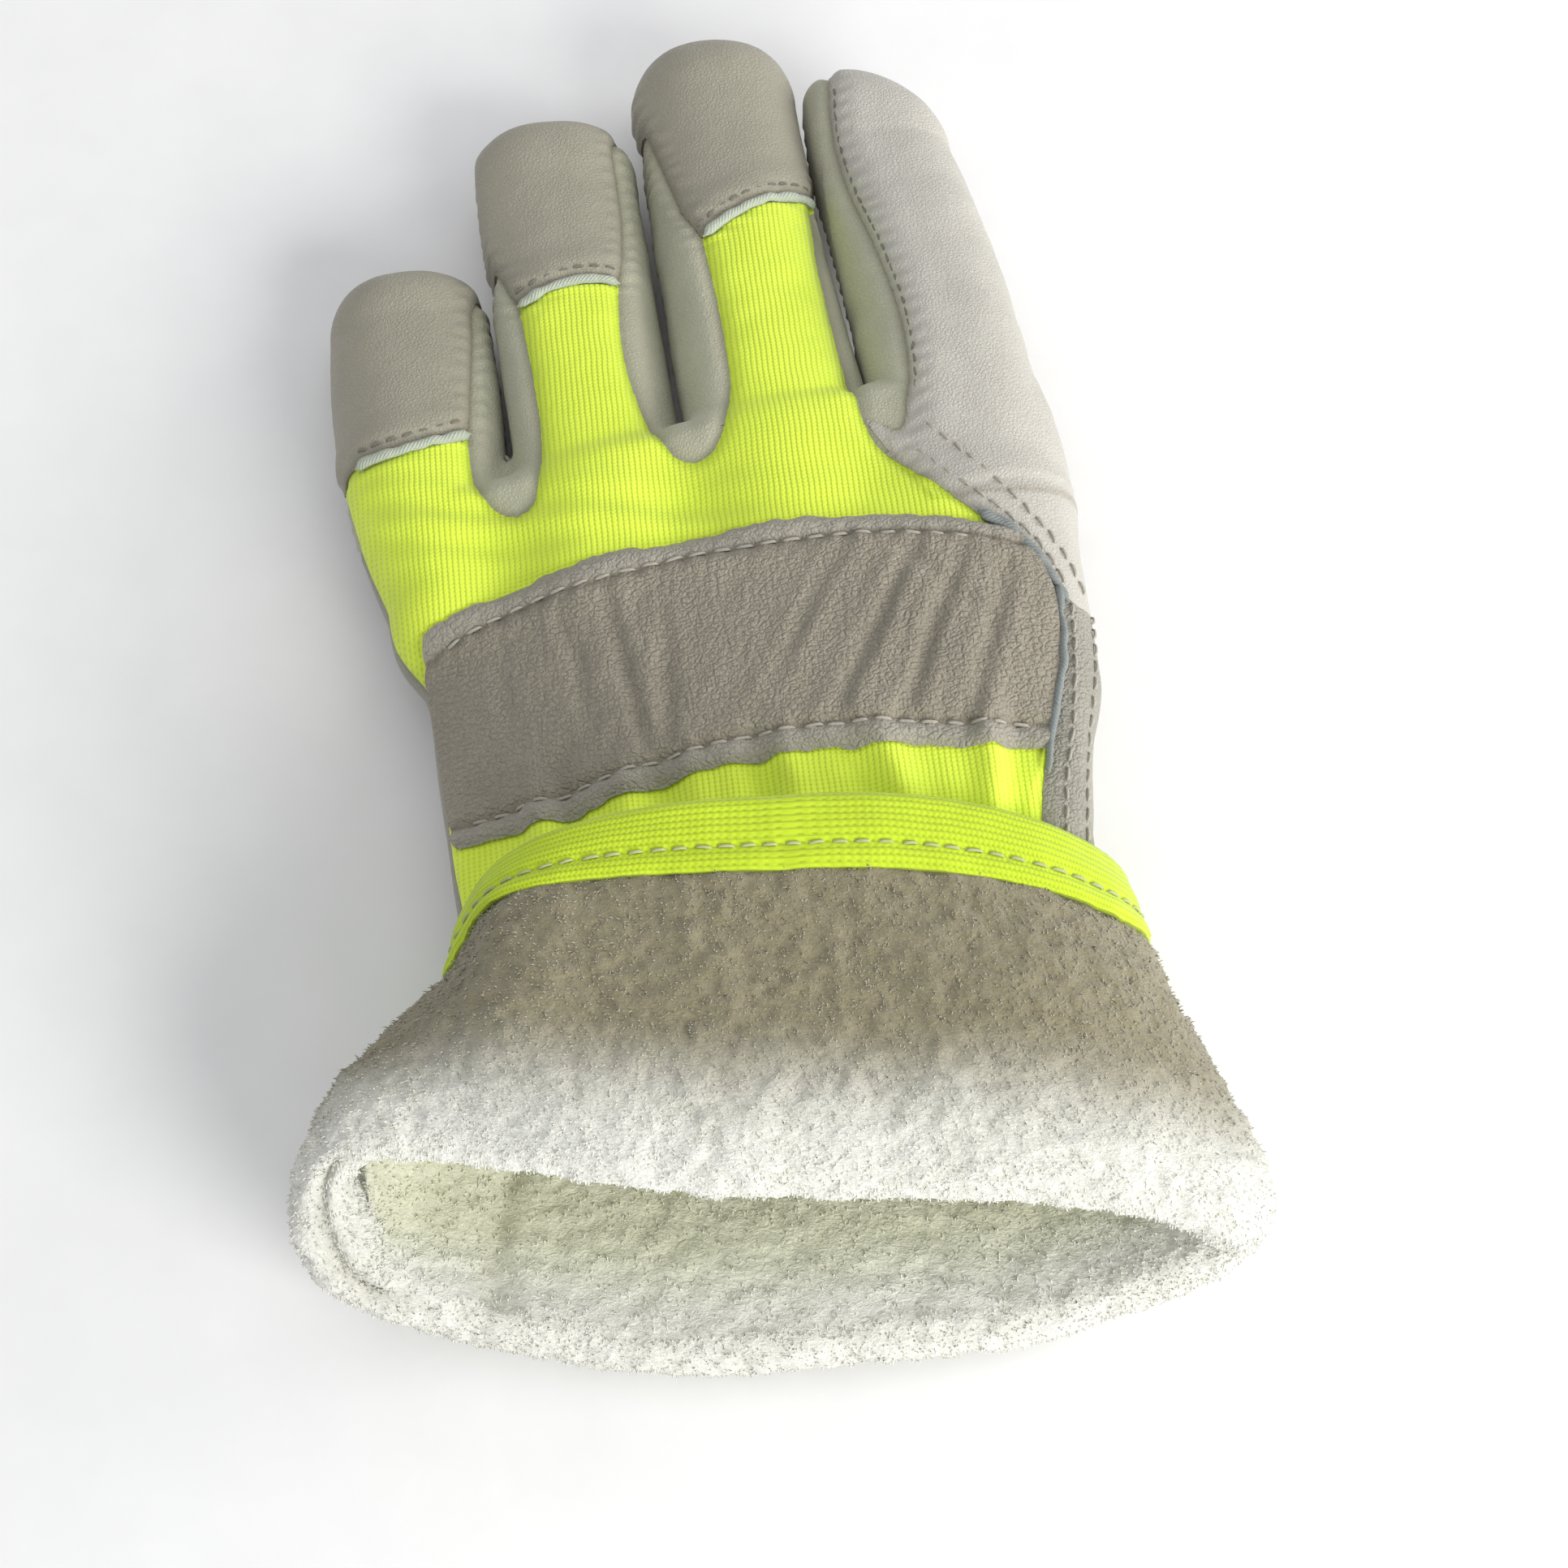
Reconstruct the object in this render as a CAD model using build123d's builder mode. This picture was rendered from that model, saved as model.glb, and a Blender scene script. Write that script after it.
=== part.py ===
"""Fleece-lined leather work glove, left hand, lying on its palm with the thumb tucked under and the cuff turned back.

Millimetres. +X runs from the little finger to the index finger, +Y from the wrist to the fingertips, +Z up from the
surface that the glove lies on. Every panel is its own solid. Four fingers hinge on one knuckle line and the thumb
swings about an axis square to the palm.
"""

import os
from math import cos, radians, sin, tan

from build123d import *

os.makedirs("parts", exist_ok=True)

# ---- materials -------------------------------------------------------------------------------------------------
LEATHER = 1.4  # leather and knit panels
PILE = 3.2  # fleece pile lining
SEAM = LEATHER + PILE  # outside of the leather to inside of the lining
THREAD = 0.5  # sewing thread lying proud of a panel
THREAD_WIDE = 0.9
EDGE = 0.9  # raw leather edge standing proud at a seam

# ---- hand and cuff: stadium sections (y, centre x, centre z, width, height, tilt in degrees) --------------------
ARM = [
    (-106, -7, 31.9, 164, 53, 0),
    (-84, -7, 30.4, 152, 50, 0),
    (-50, -5, 27.4, 130, 44, 0),
    (-18, -3, 29.4, 110, 30, 9),
    (0, -4, 28, 118, 30, 12),
    (35, -7, 27.5, 126, 30, 12),
    (61, -8, 24.5, 132, 29, 7.5),
    (75, -8, 23, 132, 29, 6),
]
WRIST_Y = -18  # hand panels end and the cuff begins
FOLD_Y = -86  # where the cuff turns back, at the middle of its mouth
MOUTH_SKEW = 7.0  # the mouth is further out on the index side, degrees
MOUTH_LEAN = 20.0  # and further out on the palm side, degrees

# ---- knuckles ----------------------------------------------------------------------------------------------------
KNUCKLE_X, KNUCKLE_Y = -8.0, 62.0
KNUCKLE_TURN = 5.0  # the knuckle line climbs towards the index finger, degrees
HAND_BACK_OFF = 3.2  # hand panels stop this far behind the hinge line
FINGER_BACK_OFF = 0.3
# Each finger hinges on this line 3 mm above its own underside, so only its lowest 3 mm swings back towards the hand.

# ---- fingers: (x, z, width, height) at the knuckle, the middle and the tip's centre, with y for the last two ------
FINGERS = {
    "little": dict(base=(-58.6, 18.2, 29.8, 27), mid=(-60.2, 88, 14.2, 31.2, 26), tip=(-60.8, 103, 12.7, 29, 24.5), seam=15),
    "ring": dict(base=(-27.6, 22.4, 30.6, 28), mid=(-29.0, 100, 15.9, 28.6, 26), tip=(-31.2, 133, 13.0, 33, 25), seam=46),
    "middle": dict(base=(6.6, 26.6, 34.0, 29), mid=(4.2, 108, 18.9, 32.0, 27), tip=(2.0, 150, 13.5, 30.6, 26), seam=58),
    "index": dict(base=(40.0, 31.4, 29.6, 29), mid=(37.2, 108, 22.4, 30.6, 27), tip=(34.0, 141.5, 16.0, 29, 25), seam=0),
}
CORNER = 0.46  # corner radius of a finger's section, as a share of its height
PANEL_HALF = 7.0  # side walls reach this far above and below a finger's centre plane
DOME = [0, 28, 52, 72, 86]  # angles of the sections that round off a tip

# ---- thumb, tucked under the palm ------------------------------------------------------------------------------
THUMB_X, THUMB_Y, THUMB_TOP = 39.0, 3.0, 21.2
THUMB_TILT = 12.0
THUMB_WIDE, THUMB_HIGH, THUMB_REACH = 26.0, 18.4, 33.0
THUMB_TURN = 5.0  # towards the palm from straight ahead, degrees
TURRET_R = 14.6  # round root of the thumb
THUMB_HOLE_R = 8.2

# ---- back of the hand ------------------------------------------------------------------------------------------
STRAP_FRONT, STRAP_REAR = 38.0, -7.0
SIDE_SEAM_X = 46.0  # knit back meets the side gusset
YOKE_Y = 34.0  # index yoke meets the side gusset
YOKE_SLANT = 32.0  # the yoke's edge runs inwards towards the knuckles, degrees from +Y
ELASTIC_Y = (-13.5, -8.0)

# ---- cuff ------------------------------------------------------------------------------------------------------
TURN_GAP = 0.8  # free space between the standing and the turned-back cuff
CUFF_EDGE_Y = -16.5  # free edge of the turned-back cuff
BINDING_Y = -28.0
BINDING = 1.1

# Everything is drawn about the wrist, then moved so that the part's origin is under the middle of its bounding box.
TO_ORIGIN = Location((3.96, -30.73, 0))


def form_between(stations, grow):
    """Solid through stadium sections, each grown by the same amount all round."""
    with BuildPart() as form:
        for y, x, z, wide, high, tilt in stations:
            across = (cos(radians(tilt)), 0, sin(radians(tilt)))
            with BuildSketch(Plane(origin=(x, y, z), x_dir=across, z_dir=(0, 1, 0))):
                SlotOverall(wide + 2 * grow, high + 2 * grow)
        loft(ruled=True)
    return form.part


def slab(low, high):
    """Everything between two places along Y."""
    with BuildPart() as block:
        with Locations((0, (low + high) / 2, 30)):
            Box(400, high - low, 400)
    return block.part


def finish(piece, name):
    """Move a finished piece to the part's origin, label it and write its STEP file."""
    placed = piece.part.moved(TO_ORIGIN)
    placed.label = name
    export_step(placed, f"parts/{name}.step")


# ==== seams and hinge planes ======================================================================================
turn = radians(KNUCKLE_TURN)
knuckle_ahead = Vector(-sin(turn), cos(turn), 0)
knuckle_point = Vector(KNUCKLE_X, KNUCKLE_Y, 0)
hand_end = Plane(origin=knuckle_point - knuckle_ahead * HAND_BACK_OFF, z_dir=knuckle_ahead)
finger_start = Plane(origin=knuckle_point + knuckle_ahead * FINGER_BACK_OFF, z_dir=knuckle_ahead)
wrist = Plane(origin=(0, WRIST_Y, 0), z_dir=(0, 1, 0))
palm_seam = Plane(origin=(-5, 0, 29.8), x_dir=(1, 0, 0.17), z_dir=(-0.17, 0, 1))
side_seam = Plane(origin=(SIDE_SEAM_X, 0, 0), z_dir=(1, 0, 0))
slant = radians(YOKE_SLANT)
yoke_seam = Plane(origin=(SIDE_SEAM_X, YOKE_Y, 0), z_dir=(cos(slant), sin(slant), 0))
yoke_end = Plane(origin=(0, YOKE_Y, 0), z_dir=(0, 1, 0))

skew, lean = tan(radians(MOUTH_SKEW)), tan(radians(MOUTH_LEAN))
mouth = Plane(origin=(-7, FOLD_Y, 28.5), z_dir=(skew, 1, -lean))

thumb_axis = Vector(-sin(radians(THUMB_TILT)), 0, cos(radians(THUMB_TILT)))
thumb_root = Vector(THUMB_X, THUMB_Y, THUMB_TOP)
thumb_bed = Plane(origin=thumb_root, x_dir=(cos(radians(THUMB_TILT)), 0, sin(radians(THUMB_TILT))), z_dir=thumb_axis)

# ==== hand ==========================================================================================================
hand_stations = [s for s in ARM if s[0] >= WRIST_Y - 40]
hand_outer = form_between(hand_stations, 0)
hand_middle = form_between(hand_stations, -LEATHER)
hand_inner = form_between(hand_stations, -SEAM)

with BuildPart() as thumb_hole:
    with BuildSketch(thumb_bed.offset(-6)):
        Circle(THUMB_HOLE_R)
    extrude(amount=22)

with BuildPart() as hand_shell:
    add(hand_outer)
    add(hand_middle, mode=Mode.SUBTRACT)
    split(bisect_by=hand_end, keep=Keep.BOTTOM)
    split(bisect_by=wrist, keep=Keep.TOP)

with BuildPart() as palm_panel:
    add(hand_shell.part)
    split(bisect_by=palm_seam, keep=Keep.BOTTOM)
    add(thumb_hole.part, mode=Mode.SUBTRACT)
finish(palm_panel, "palm_panel")

with BuildPart() as back_panel:
    add(hand_shell.part)
    split(bisect_by=palm_seam, keep=Keep.TOP)
    split(bisect_by=side_seam, keep=Keep.BOTTOM)
    split(bisect_by=yoke_seam, keep=Keep.BOTTOM)
finish(back_panel, "back_panel")

with BuildPart() as right_side:
    add(hand_shell.part)
    split(bisect_by=palm_seam, keep=Keep.TOP)
    add(back_panel.part, mode=Mode.SUBTRACT)

with BuildPart() as index_yoke:
    add(right_side.part)
    split(bisect_by=yoke_end, keep=Keep.TOP)
finish(index_yoke, "index_yoke")

with BuildPart() as thumb_gusset:
    add(right_side.part)
    split(bisect_by=yoke_end, keep=Keep.BOTTOM)
finish(thumb_gusset, "thumb_gusset")

# Elastic under the knit at the wrist, which gathers the back panel.
elastic_floor = form_between(hand_stations, -LEATHER - 0.9)
with BuildPart() as wrist_elastic:
    add(hand_middle)
    add(elastic_floor, mode=Mode.SUBTRACT)
    add(slab(*ELASTIC_Y), mode=Mode.INTERSECT)
    split(bisect_by=palm_seam.offset(3), keep=Keep.TOP)
    split(bisect_by=side_seam.offset(-3), keep=Keep.BOTTOM)
finish(wrist_elastic, "wrist_elastic")

with BuildPart() as hand_lining:
    add(hand_middle)
    add(hand_inner, mode=Mode.SUBTRACT)
    split(bisect_by=hand_end, keep=Keep.BOTTOM)
    split(bisect_by=wrist, keep=Keep.TOP)
    add(thumb_hole.part, mode=Mode.SUBTRACT)
    add(wrist_elastic.part, mode=Mode.SUBTRACT)
finish(hand_lining, "hand_lining")


def laid_on(level, thick, window, *cuts):
    """A strip lying on the hand at one level, inside a window and on the kept side of each (plane, side)."""
    with BuildPart() as strip:
        add(form_between(hand_stations, level + thick))
        add(form_between(hand_stations, level), mode=Mode.SUBTRACT)
        add(window, mode=Mode.INTERSECT)
        for plane, side in cuts:
            split(bisect_by=plane, keep=side)
    return strip


above_palm = (palm_seam.offset(1), Keep.TOP)
left_of_side = (side_seam, Keep.BOTTOM)
left_of_yoke = (yoke_seam.offset(-0.5), Keep.BOTTOM)

knuckle_strap = laid_on(0, LEATHER, slab(STRAP_REAR, STRAP_FRONT), above_palm, left_of_side, left_of_yoke)
finish(knuckle_strap, "knuckle_strap")

strap_rows = {"strap_front_thread": STRAP_FRONT - 5, "strap_rear_thread": STRAP_REAR + 4.5}
for name, row in strap_rows.items():
    thread = laid_on(
        LEATHER, THREAD, slab(row, row + THREAD_WIDE), above_palm, (side_seam.offset(-1), Keep.BOTTOM), left_of_yoke
    )
    finish(thread, name)

# The raw edge of the side leather, standing up beside the end of the strap.
welt_low, welt_high = -12.0, YOKE_Y - 0.5
side_welt = laid_on(
    0, LEATHER + EDGE, slab(welt_low, welt_high), (side_seam, Keep.TOP), (side_seam.offset(1.8), Keep.BOTTOM), above_palm
)
finish(side_welt, "side_welt")

for name, inwards in {"gusset_inner_thread": 3.4, "gusset_outer_thread": 7.0}.items():
    row = side_seam.offset(inwards)
    thread = laid_on(
        0, THREAD, slab(welt_low, welt_high), (row, Keep.TOP), (row.offset(THREAD_WIDE), Keep.BOTTOM), above_palm
    )
    finish(thread, name)

for name, inwards in {"yoke_inner_thread": 3.0, "yoke_outer_thread": 7.5}.items():
    row = yoke_seam.offset(inwards)
    thread = laid_on(
        0,
        THREAD,
        slab(YOKE_Y + 0.5, 90),
        (row, Keep.TOP),
        (row.offset(THREAD_WIDE), Keep.BOTTOM),
        (hand_end, Keep.BOTTOM),
        above_palm,
    )
    finish(thread, name)


# ==== fingers =======================================================================================================
def finger_frame(finger):
    """Plane at the knuckle whose normal runs along the finger and whose x runs across it."""
    x, z = finger["base"][:2]
    y = KNUCKLE_Y + (x - KNUCKLE_X) * tan(turn)
    start = Vector(x, y, z)
    tip_x, tip_y, tip_z = finger["tip"][:3]
    along = (Vector(tip_x, tip_y, tip_z) - start).normalized()
    across = along.cross(Vector(0, 0, 1)).normalized()
    return start, along, across


def finger_form(finger, grow):
    """Solid finger: three main sections, then a rounded tip."""
    start, along, across = finger_frame(finger)
    tip = Vector(*finger["tip"][:3])
    mid = Vector(*finger["mid"][:3])
    tip_wide, tip_high = (v + 2 * grow for v in finger["tip"][3:])
    base_wide, base_high = (v + 2 * grow for v in finger["base"][2:])
    mid_wide, mid_high = (v + 2 * grow for v in finger["mid"][3:])
    sections = [
        (start - along * 12, base_wide, base_high),
        (start, base_wide, base_high),
        (mid, mid_wide, mid_high),
    ]
    for angle in DOME:
        shrink = cos(radians(angle))
        reach = tip_wide / 2 * sin(radians(angle))
        sections.append((tip + along * reach, tip_wide * shrink, tip_high * shrink))
    with BuildPart() as form:
        for centre, wide, high in sections:
            with BuildSketch(Plane(origin=centre, x_dir=across, z_dir=along)):
                RectangleRounded(wide, high, CORNER * min(wide, high))
        loft(ruled=True)
    return form.part


def make_finger(name, finger):
    """All the panels of one finger, each exported as its own node."""
    start, along, across = finger_frame(finger)
    up = across.cross(along)
    centre = Plane(origin=start, x_dir=across, z_dir=up)
    upper, lower = centre.offset(PANEL_HALF), centre.offset(-PANEL_HALF)
    middle = Plane(origin=start, z_dir=across)
    tip_root = Plane(origin=Vector(*finger["tip"][:3]), z_dir=along)
    cap_seam = Plane(origin=start + along * finger["seam"], z_dir=along)

    outer, inside = finger_form(finger, 0), finger_form(finger, -LEATHER)
    with BuildPart() as skin:
        add(outer)
        add(inside, mode=Mode.SUBTRACT)
        split(bisect_by=finger_start, keep=Keep.TOP)

    def panel(*cuts):
        with BuildPart() as cut:
            add(skin.part)
            for plane, side in cuts:
                split(bisect_by=plane, keep=side)
        return cut

    walls = [(lower, Keep.TOP), (upper, Keep.BOTTOM), (tip_root, Keep.BOTTOM)]
    little_side, index_side = panel(*walls, (middle, Keep.BOTTOM)), panel(*walls, (middle, Keep.TOP))
    top = panel((upper, Keep.TOP), (tip_root, Keep.BOTTOM))
    tip_end = panel((lower, Keep.TOP), (tip_root, Keep.TOP))

    # Palm-side leather: on the little finger it wraps round the outer side as well.
    with BuildPart() as front:
        add(panel((lower, Keep.BOTTOM)).part)
        if name == "little":
            add(little_side.part)
    finish(front, f"{name}_front")

    with BuildPart() as lining:
        add(inside)
        add(finger_form(finger, -SEAM), mode=Mode.SUBTRACT)
        split(bisect_by=finger_start, keep=Keep.TOP)
    finish(lining, f"{name}_lining")

    if name == "index":
        finish(little_side, "index_fourchette")
        with BuildPart() as back:
            add(top.part)
            add(tip_end.part)
            add(index_side.part)
        finish(back, "index_back")
        row = upper.offset(0.4)
        seam_thread = lay_on_finger(
            finger, 0, THREAD, (row, Keep.TOP), (row.offset(THREAD_WIDE), Keep.BOTTOM), (middle, Keep.BOTTOM),
            (tip_root, Keep.BOTTOM),
        )
        finish(seam_thread, "index_seam_thread")
        return

    if name != "little":
        finish(little_side, f"{name}_fourchette_outer")
    finish(index_side, f"{name}_fourchette" if name == "little" else f"{name}_fourchette_inner")

    with BuildPart() as stall:
        add(top.part)
        split(bisect_by=cap_seam, keep=Keep.BOTTOM)
    finish(stall, f"{name}_stall")

    with BuildPart() as cap:
        add(top.part)
        split(bisect_by=cap_seam, keep=Keep.TOP)
        add(tip_end.part)
    finish(cap, f"{name}_cap")

    edges = {"welt": (0, EDGE, -0.6, 1.6), "cap_thread": (0, THREAD, 2.2, THREAD_WIDE)}
    for label, (level, thick, place, width) in edges.items():
        row = cap_seam.offset(place)
        strip = lay_on_finger(
            finger, level, thick, (row, Keep.TOP), (row.offset(width), Keep.BOTTOM), (upper.offset(1), Keep.TOP)
        )
        finish(strip, f"{name}_{label}")


def lay_on_finger(finger, level, thick, *cuts):
    """A strip lying on a finger, on the kept side of each (plane, side)."""
    with BuildPart() as strip:
        add(finger_form(finger, level + thick))
        add(finger_form(finger, level), mode=Mode.SUBTRACT)
        split(bisect_by=finger_start, keep=Keep.TOP)
        for plane, side in cuts:
            split(bisect_by=plane, keep=side)
    return strip


for finger_name, finger in FINGERS.items():
    make_finger(finger_name, finger)


# ==== thumb =========================================================================================================
def thumb_form(grow, open_top):
    """Flattened thumb with a round root, in the plane that it swings in."""
    wide, high = THUMB_WIDE + 2 * grow, THUMB_HIGH + 2 * grow
    heading = Vector(0, 1, 0).rotate(Axis((0, 0, 0), tuple(thumb_axis)), THUMB_TURN)
    centre = thumb_root - thumb_axis * (THUMB_HIGH / 2)
    across = heading.cross(thumb_axis)
    with BuildPart() as form:
        for angle in [None] + DOME:
            shrink = 1 if angle is None else cos(radians(angle))
            reach = 0 if angle is None else THUMB_REACH + wide / 2 * sin(radians(angle))
            section = Plane(origin=centre + heading * reach, x_dir=across, z_dir=heading)
            with BuildSketch(section):
                RectangleRounded(wide * shrink, high * shrink, CORNER * high * shrink)
        loft(ruled=True)
        with BuildSketch(Plane(origin=centre - thumb_axis * high / 2, x_dir=across, z_dir=thumb_axis)):
            Circle(TURRET_R + grow)
        extrude(amount=high)
        if open_top:
            with BuildSketch(Plane(origin=centre, x_dir=across, z_dir=thumb_axis)):
                Circle(THUMB_HOLE_R)
            extrude(amount=THUMB_HIGH)
    return form.part


thumb_outer, thumb_middle = thumb_form(0, False), thumb_form(-LEATHER, True)
thumb_parting = thumb_bed.offset(-THUMB_HIGH / 2)

for name, side in {"thumb_front": Keep.TOP, "thumb_back": Keep.BOTTOM}.items():
    with BuildPart() as thumb_panel:
        add(thumb_outer)
        add(thumb_middle, mode=Mode.SUBTRACT)
        split(bisect_by=thumb_parting, keep=side)
    finish(thumb_panel, name)

with BuildPart() as thumb_lining:
    add(thumb_form(-LEATHER, False))
    add(thumb_form(-SEAM, True), mode=Mode.SUBTRACT)
finish(thumb_lining, "thumb_lining")

# ==== cuff: standing layers, the fold, and the layers turned back over them =========================================
cuff_stations = [s for s in ARM if s[0] <= 0]


def cuff_form(grow):
    return form_between(cuff_stations, grow)


inner_face, shell_inside, shell_outside = cuff_form(-SEAM), cuff_form(-LEATHER), cuff_form(0)
turned_inside = cuff_form(TURN_GAP)
turned_outside = cuff_form(TURN_GAP + LEATHER)
pile_outside = cuff_form(TURN_GAP + SEAM)
binding_outside = cuff_form(TURN_GAP + SEAM + BINDING)
cuff_edge = Plane(origin=(0, CUFF_EDGE_Y, 0), z_dir=(0, 1, 0))
binding_start = Plane(origin=(0, BINDING_Y, 0), z_dir=(0, 1, 0))


def layer(outside, inside, start, end):
    """One layer of the cuff between two planes, start being the one nearer the mouth."""
    with BuildPart() as tube:
        add(outside)
        add(inside, mode=Mode.SUBTRACT)
        split(bisect_by=start, keep=Keep.TOP)
        split(bisect_by=end, keep=Keep.BOTTOM)
    return tube.part


pile_fold, shell_fold = mouth.offset(PILE), mouth.offset(SEAM)
with BuildPart() as cuff_lining:
    add(layer(pile_outside, inner_face, mouth, pile_fold))
    add(layer(shell_inside, inner_face, pile_fold, wrist))
    add(layer(pile_outside, turned_outside, pile_fold, cuff_edge))
finish(cuff_lining, "cuff_lining")

with BuildPart() as cuff_shell:
    add(layer(turned_outside, shell_inside, pile_fold, shell_fold))
    add(layer(shell_outside, shell_inside, shell_fold, wrist))
    add(layer(turned_outside, turned_inside, shell_fold, cuff_edge))
finish(cuff_shell, "cuff_shell")

with BuildPart() as cuff_binding:
    add(layer(binding_outside, pile_outside, binding_start, cuff_edge))
    add(layer(binding_outside, turned_inside, cuff_edge, cuff_edge.offset(BINDING)))
finish(cuff_binding, "cuff_binding")

thread_row = cuff_edge.offset(-7.5)
with BuildPart() as binding_thread:
    add(layer(cuff_form(TURN_GAP + SEAM + BINDING + THREAD), binding_outside, thread_row, thread_row.offset(THREAD_WIDE)))
finish(binding_thread, "binding_thread")
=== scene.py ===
"""The looks of the fleece-lined work glove: panels, fleece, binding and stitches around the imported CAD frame.

The glove is drawn in millimetres about its wrist, as in part.py, and moved to the row frame at the end.
"""

import math

import bmesh
import bpy
import numpy as np
from mathutils import Matrix, Vector


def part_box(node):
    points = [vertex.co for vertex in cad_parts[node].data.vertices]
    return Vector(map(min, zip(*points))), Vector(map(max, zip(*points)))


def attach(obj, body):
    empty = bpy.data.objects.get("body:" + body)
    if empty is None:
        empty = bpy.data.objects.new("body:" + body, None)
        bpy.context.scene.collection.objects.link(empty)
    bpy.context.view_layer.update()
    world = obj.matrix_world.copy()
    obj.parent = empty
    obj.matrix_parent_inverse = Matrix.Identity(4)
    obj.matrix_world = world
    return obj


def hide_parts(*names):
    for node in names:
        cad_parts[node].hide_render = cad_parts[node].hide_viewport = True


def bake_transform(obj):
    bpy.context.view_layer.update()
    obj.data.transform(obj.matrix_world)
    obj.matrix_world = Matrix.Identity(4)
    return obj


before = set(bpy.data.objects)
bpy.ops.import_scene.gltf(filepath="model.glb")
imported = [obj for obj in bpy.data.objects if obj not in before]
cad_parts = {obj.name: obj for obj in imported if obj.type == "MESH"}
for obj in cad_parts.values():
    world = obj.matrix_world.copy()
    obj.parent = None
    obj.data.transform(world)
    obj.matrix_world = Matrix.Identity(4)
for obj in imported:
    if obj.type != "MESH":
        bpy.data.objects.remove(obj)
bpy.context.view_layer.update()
rng = np.random.default_rng(20240)

# ==== placing: millimetres about the wrist to metres in the row frame ===============================================
low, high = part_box("back_panel")  # its index side is at x 46 on the drawing, its wrist end at y -18
TO_ROW = np.array([high[0] * 1000 - 46.0, low[1] * 1000 + 18.0, 0.0])


def row(p):
    return (np.asarray(p, float) + TO_ROW) / 1000


# ==== form of the hand and fingers ==================================================================================
# rows of (y, centre x, centre z, width, height[, tilt])
HAND = [
    (-45, -2.0, 28.5, 106, 36, 3.0),
    (-18, -3.0, 28.5, 113, 35, 7.5),
    (0, -2.8, 28.3, 117.3, 32.5, 10.5),
    (35, -4.2, 27.3, 120.2, 31.5, 11.0),
    (61, -7.4, 24.5, 123.8, 30, 7.5),
    (78, -8.2, 23.0, 125, 29, 6.0),
]
FINGERS = {
    "little": dict(
        rows=[(40, -55.4, 19.0, 25, 29), (57.5, -58.4, 17.6, 29.4, 28.5), (88, -60.2, 14.6, 32.6, 27), (102, -60.8, 13.1, 30.4, 25)],
        cap=13.6, square=2.6, lean=0.0,
    ),
    "ring": dict(
        rows=[(42, -27.2, 24.0, 30, 29.5), (60.3, -27.6, 22.2, 31, 29), (100, -29.2, 16.2, 32, 27), (131.3, -31.2, 13.7, 33.2, 25.6)],
        cap=16.0, square=2.7, lean=0.0,
    ),
    "middle": dict(
        rows=[(45, 7.4, 28.6, 33, 30), (63.3, 6.9, 26.4, 34.4, 29.6), (110, 3.9, 18.4, 32.6, 27.6), (148, 2.3, 14.2, 32.2, 26.4)],
        cap=16.2, square=2.25, lean=0.0,
    ),
    "index": dict(
        rows=[(48, 40.6, 33.0, 29, 29), (66.5, 39.0, 31.0, 30.4, 29), (105, 36.7, 22.0, 30.0, 28), (132, 33.2, 16.6, 28.2, 25.6)],
        cap=21.5, square=2.05, lean=-7.0,
    ),
}
ORDER = ("little", "ring", "middle", "index")
THUMB = [(3, 39.6, 12.0, 28.6, 18.4), (20, 38.8, 11.5, 27.0, 18.0), (36, 37.0, 11.2, 26.0, 17.6)]
THUMB_TILT = math.radians(12)
FINGER_ROOM = 0.45  # from each finger's side to the line between it and its neighbour
VOXEL = 0.8
LONGEST_STEP = 2.0  # of a point on its way to the surface


def along(rows, y):
    """Smooth values of a table's columns at y, held level past its ends."""
    t = np.array(rows, float)
    k, v = t[:, 0], t[:, 1:]
    m = np.gradient(v, k, axis=0)
    y = np.clip(y, k[0], k[-1])
    i = np.clip(np.searchsorted(k, y) - 1, 0, len(k) - 2)
    h = (k[i + 1] - k[i])[..., None]
    s = (y - k[i])[..., None] / h
    a, b, ma, mb = v[i], v[i + 1], m[i] * h, m[i + 1] * h
    s2, s3 = s * s, s ** 3
    value = (2 * s3 - 3 * s2 + 1) * a + (s3 - 2 * s2 + s) * ma + (3 * s2 - 2 * s3) * b + (s3 - s2) * mb
    return np.moveaxis(value, -1, 0)


def outside(u, v, past, reach, wide, high, square, end):
    """How far outside a rounded section a point is, along the line from its centre. Past is how far beyond the ends."""
    q = (np.abs(2 * u / wide) ** square + np.abs(2 * v / high) ** square) ** (end / square) + (past / reach) ** end
    q = np.maximum(q, 1e-9) ** (1 / end)
    return np.sqrt(u * u + v * v + past * past) * (1 - 1 / q)


def finger_uv(name, p):
    """Across and up from a finger's centre line."""
    f = FINGERS[name]
    x, z, wide, high = along(f["rows"], p[:, 1])
    past = np.maximum(p[:, 1] - f["rows"][-1][0], 0)
    return p[:, 0] - x - f["lean"] * (past / f["cap"]) ** 2, p[:, 2] - z, wide, high, past


def finger_distance(name, p):
    f = FINGERS[name]
    u, v, wide, high, past = finger_uv(name, p)
    before = np.maximum(f["rows"][0][0] - p[:, 1], 0)
    d = outside(u, v, past + before, f["cap"], wide, high, 2.35, f["square"])
    i = ORDER.index(name)
    near_root = 30 * (1 - ramp(p[:, 1], 58, 70))
    if i > 0:
        d = -smooth_min(-d, near_root - FINGER_ROOM + gap_side(i - 1, p), 1.2)
    if i < 3:
        d = -smooth_min(-d, near_root - FINGER_ROOM - gap_side(i, p), 1.2)
    return d


def turned(p, x, z, tilt):
    dx, dz = p[:, 0] - x, p[:, 2] - z
    return dx * np.cos(tilt) + dz * np.sin(tilt), -dx * np.sin(tilt) + dz * np.cos(tilt)


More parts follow.
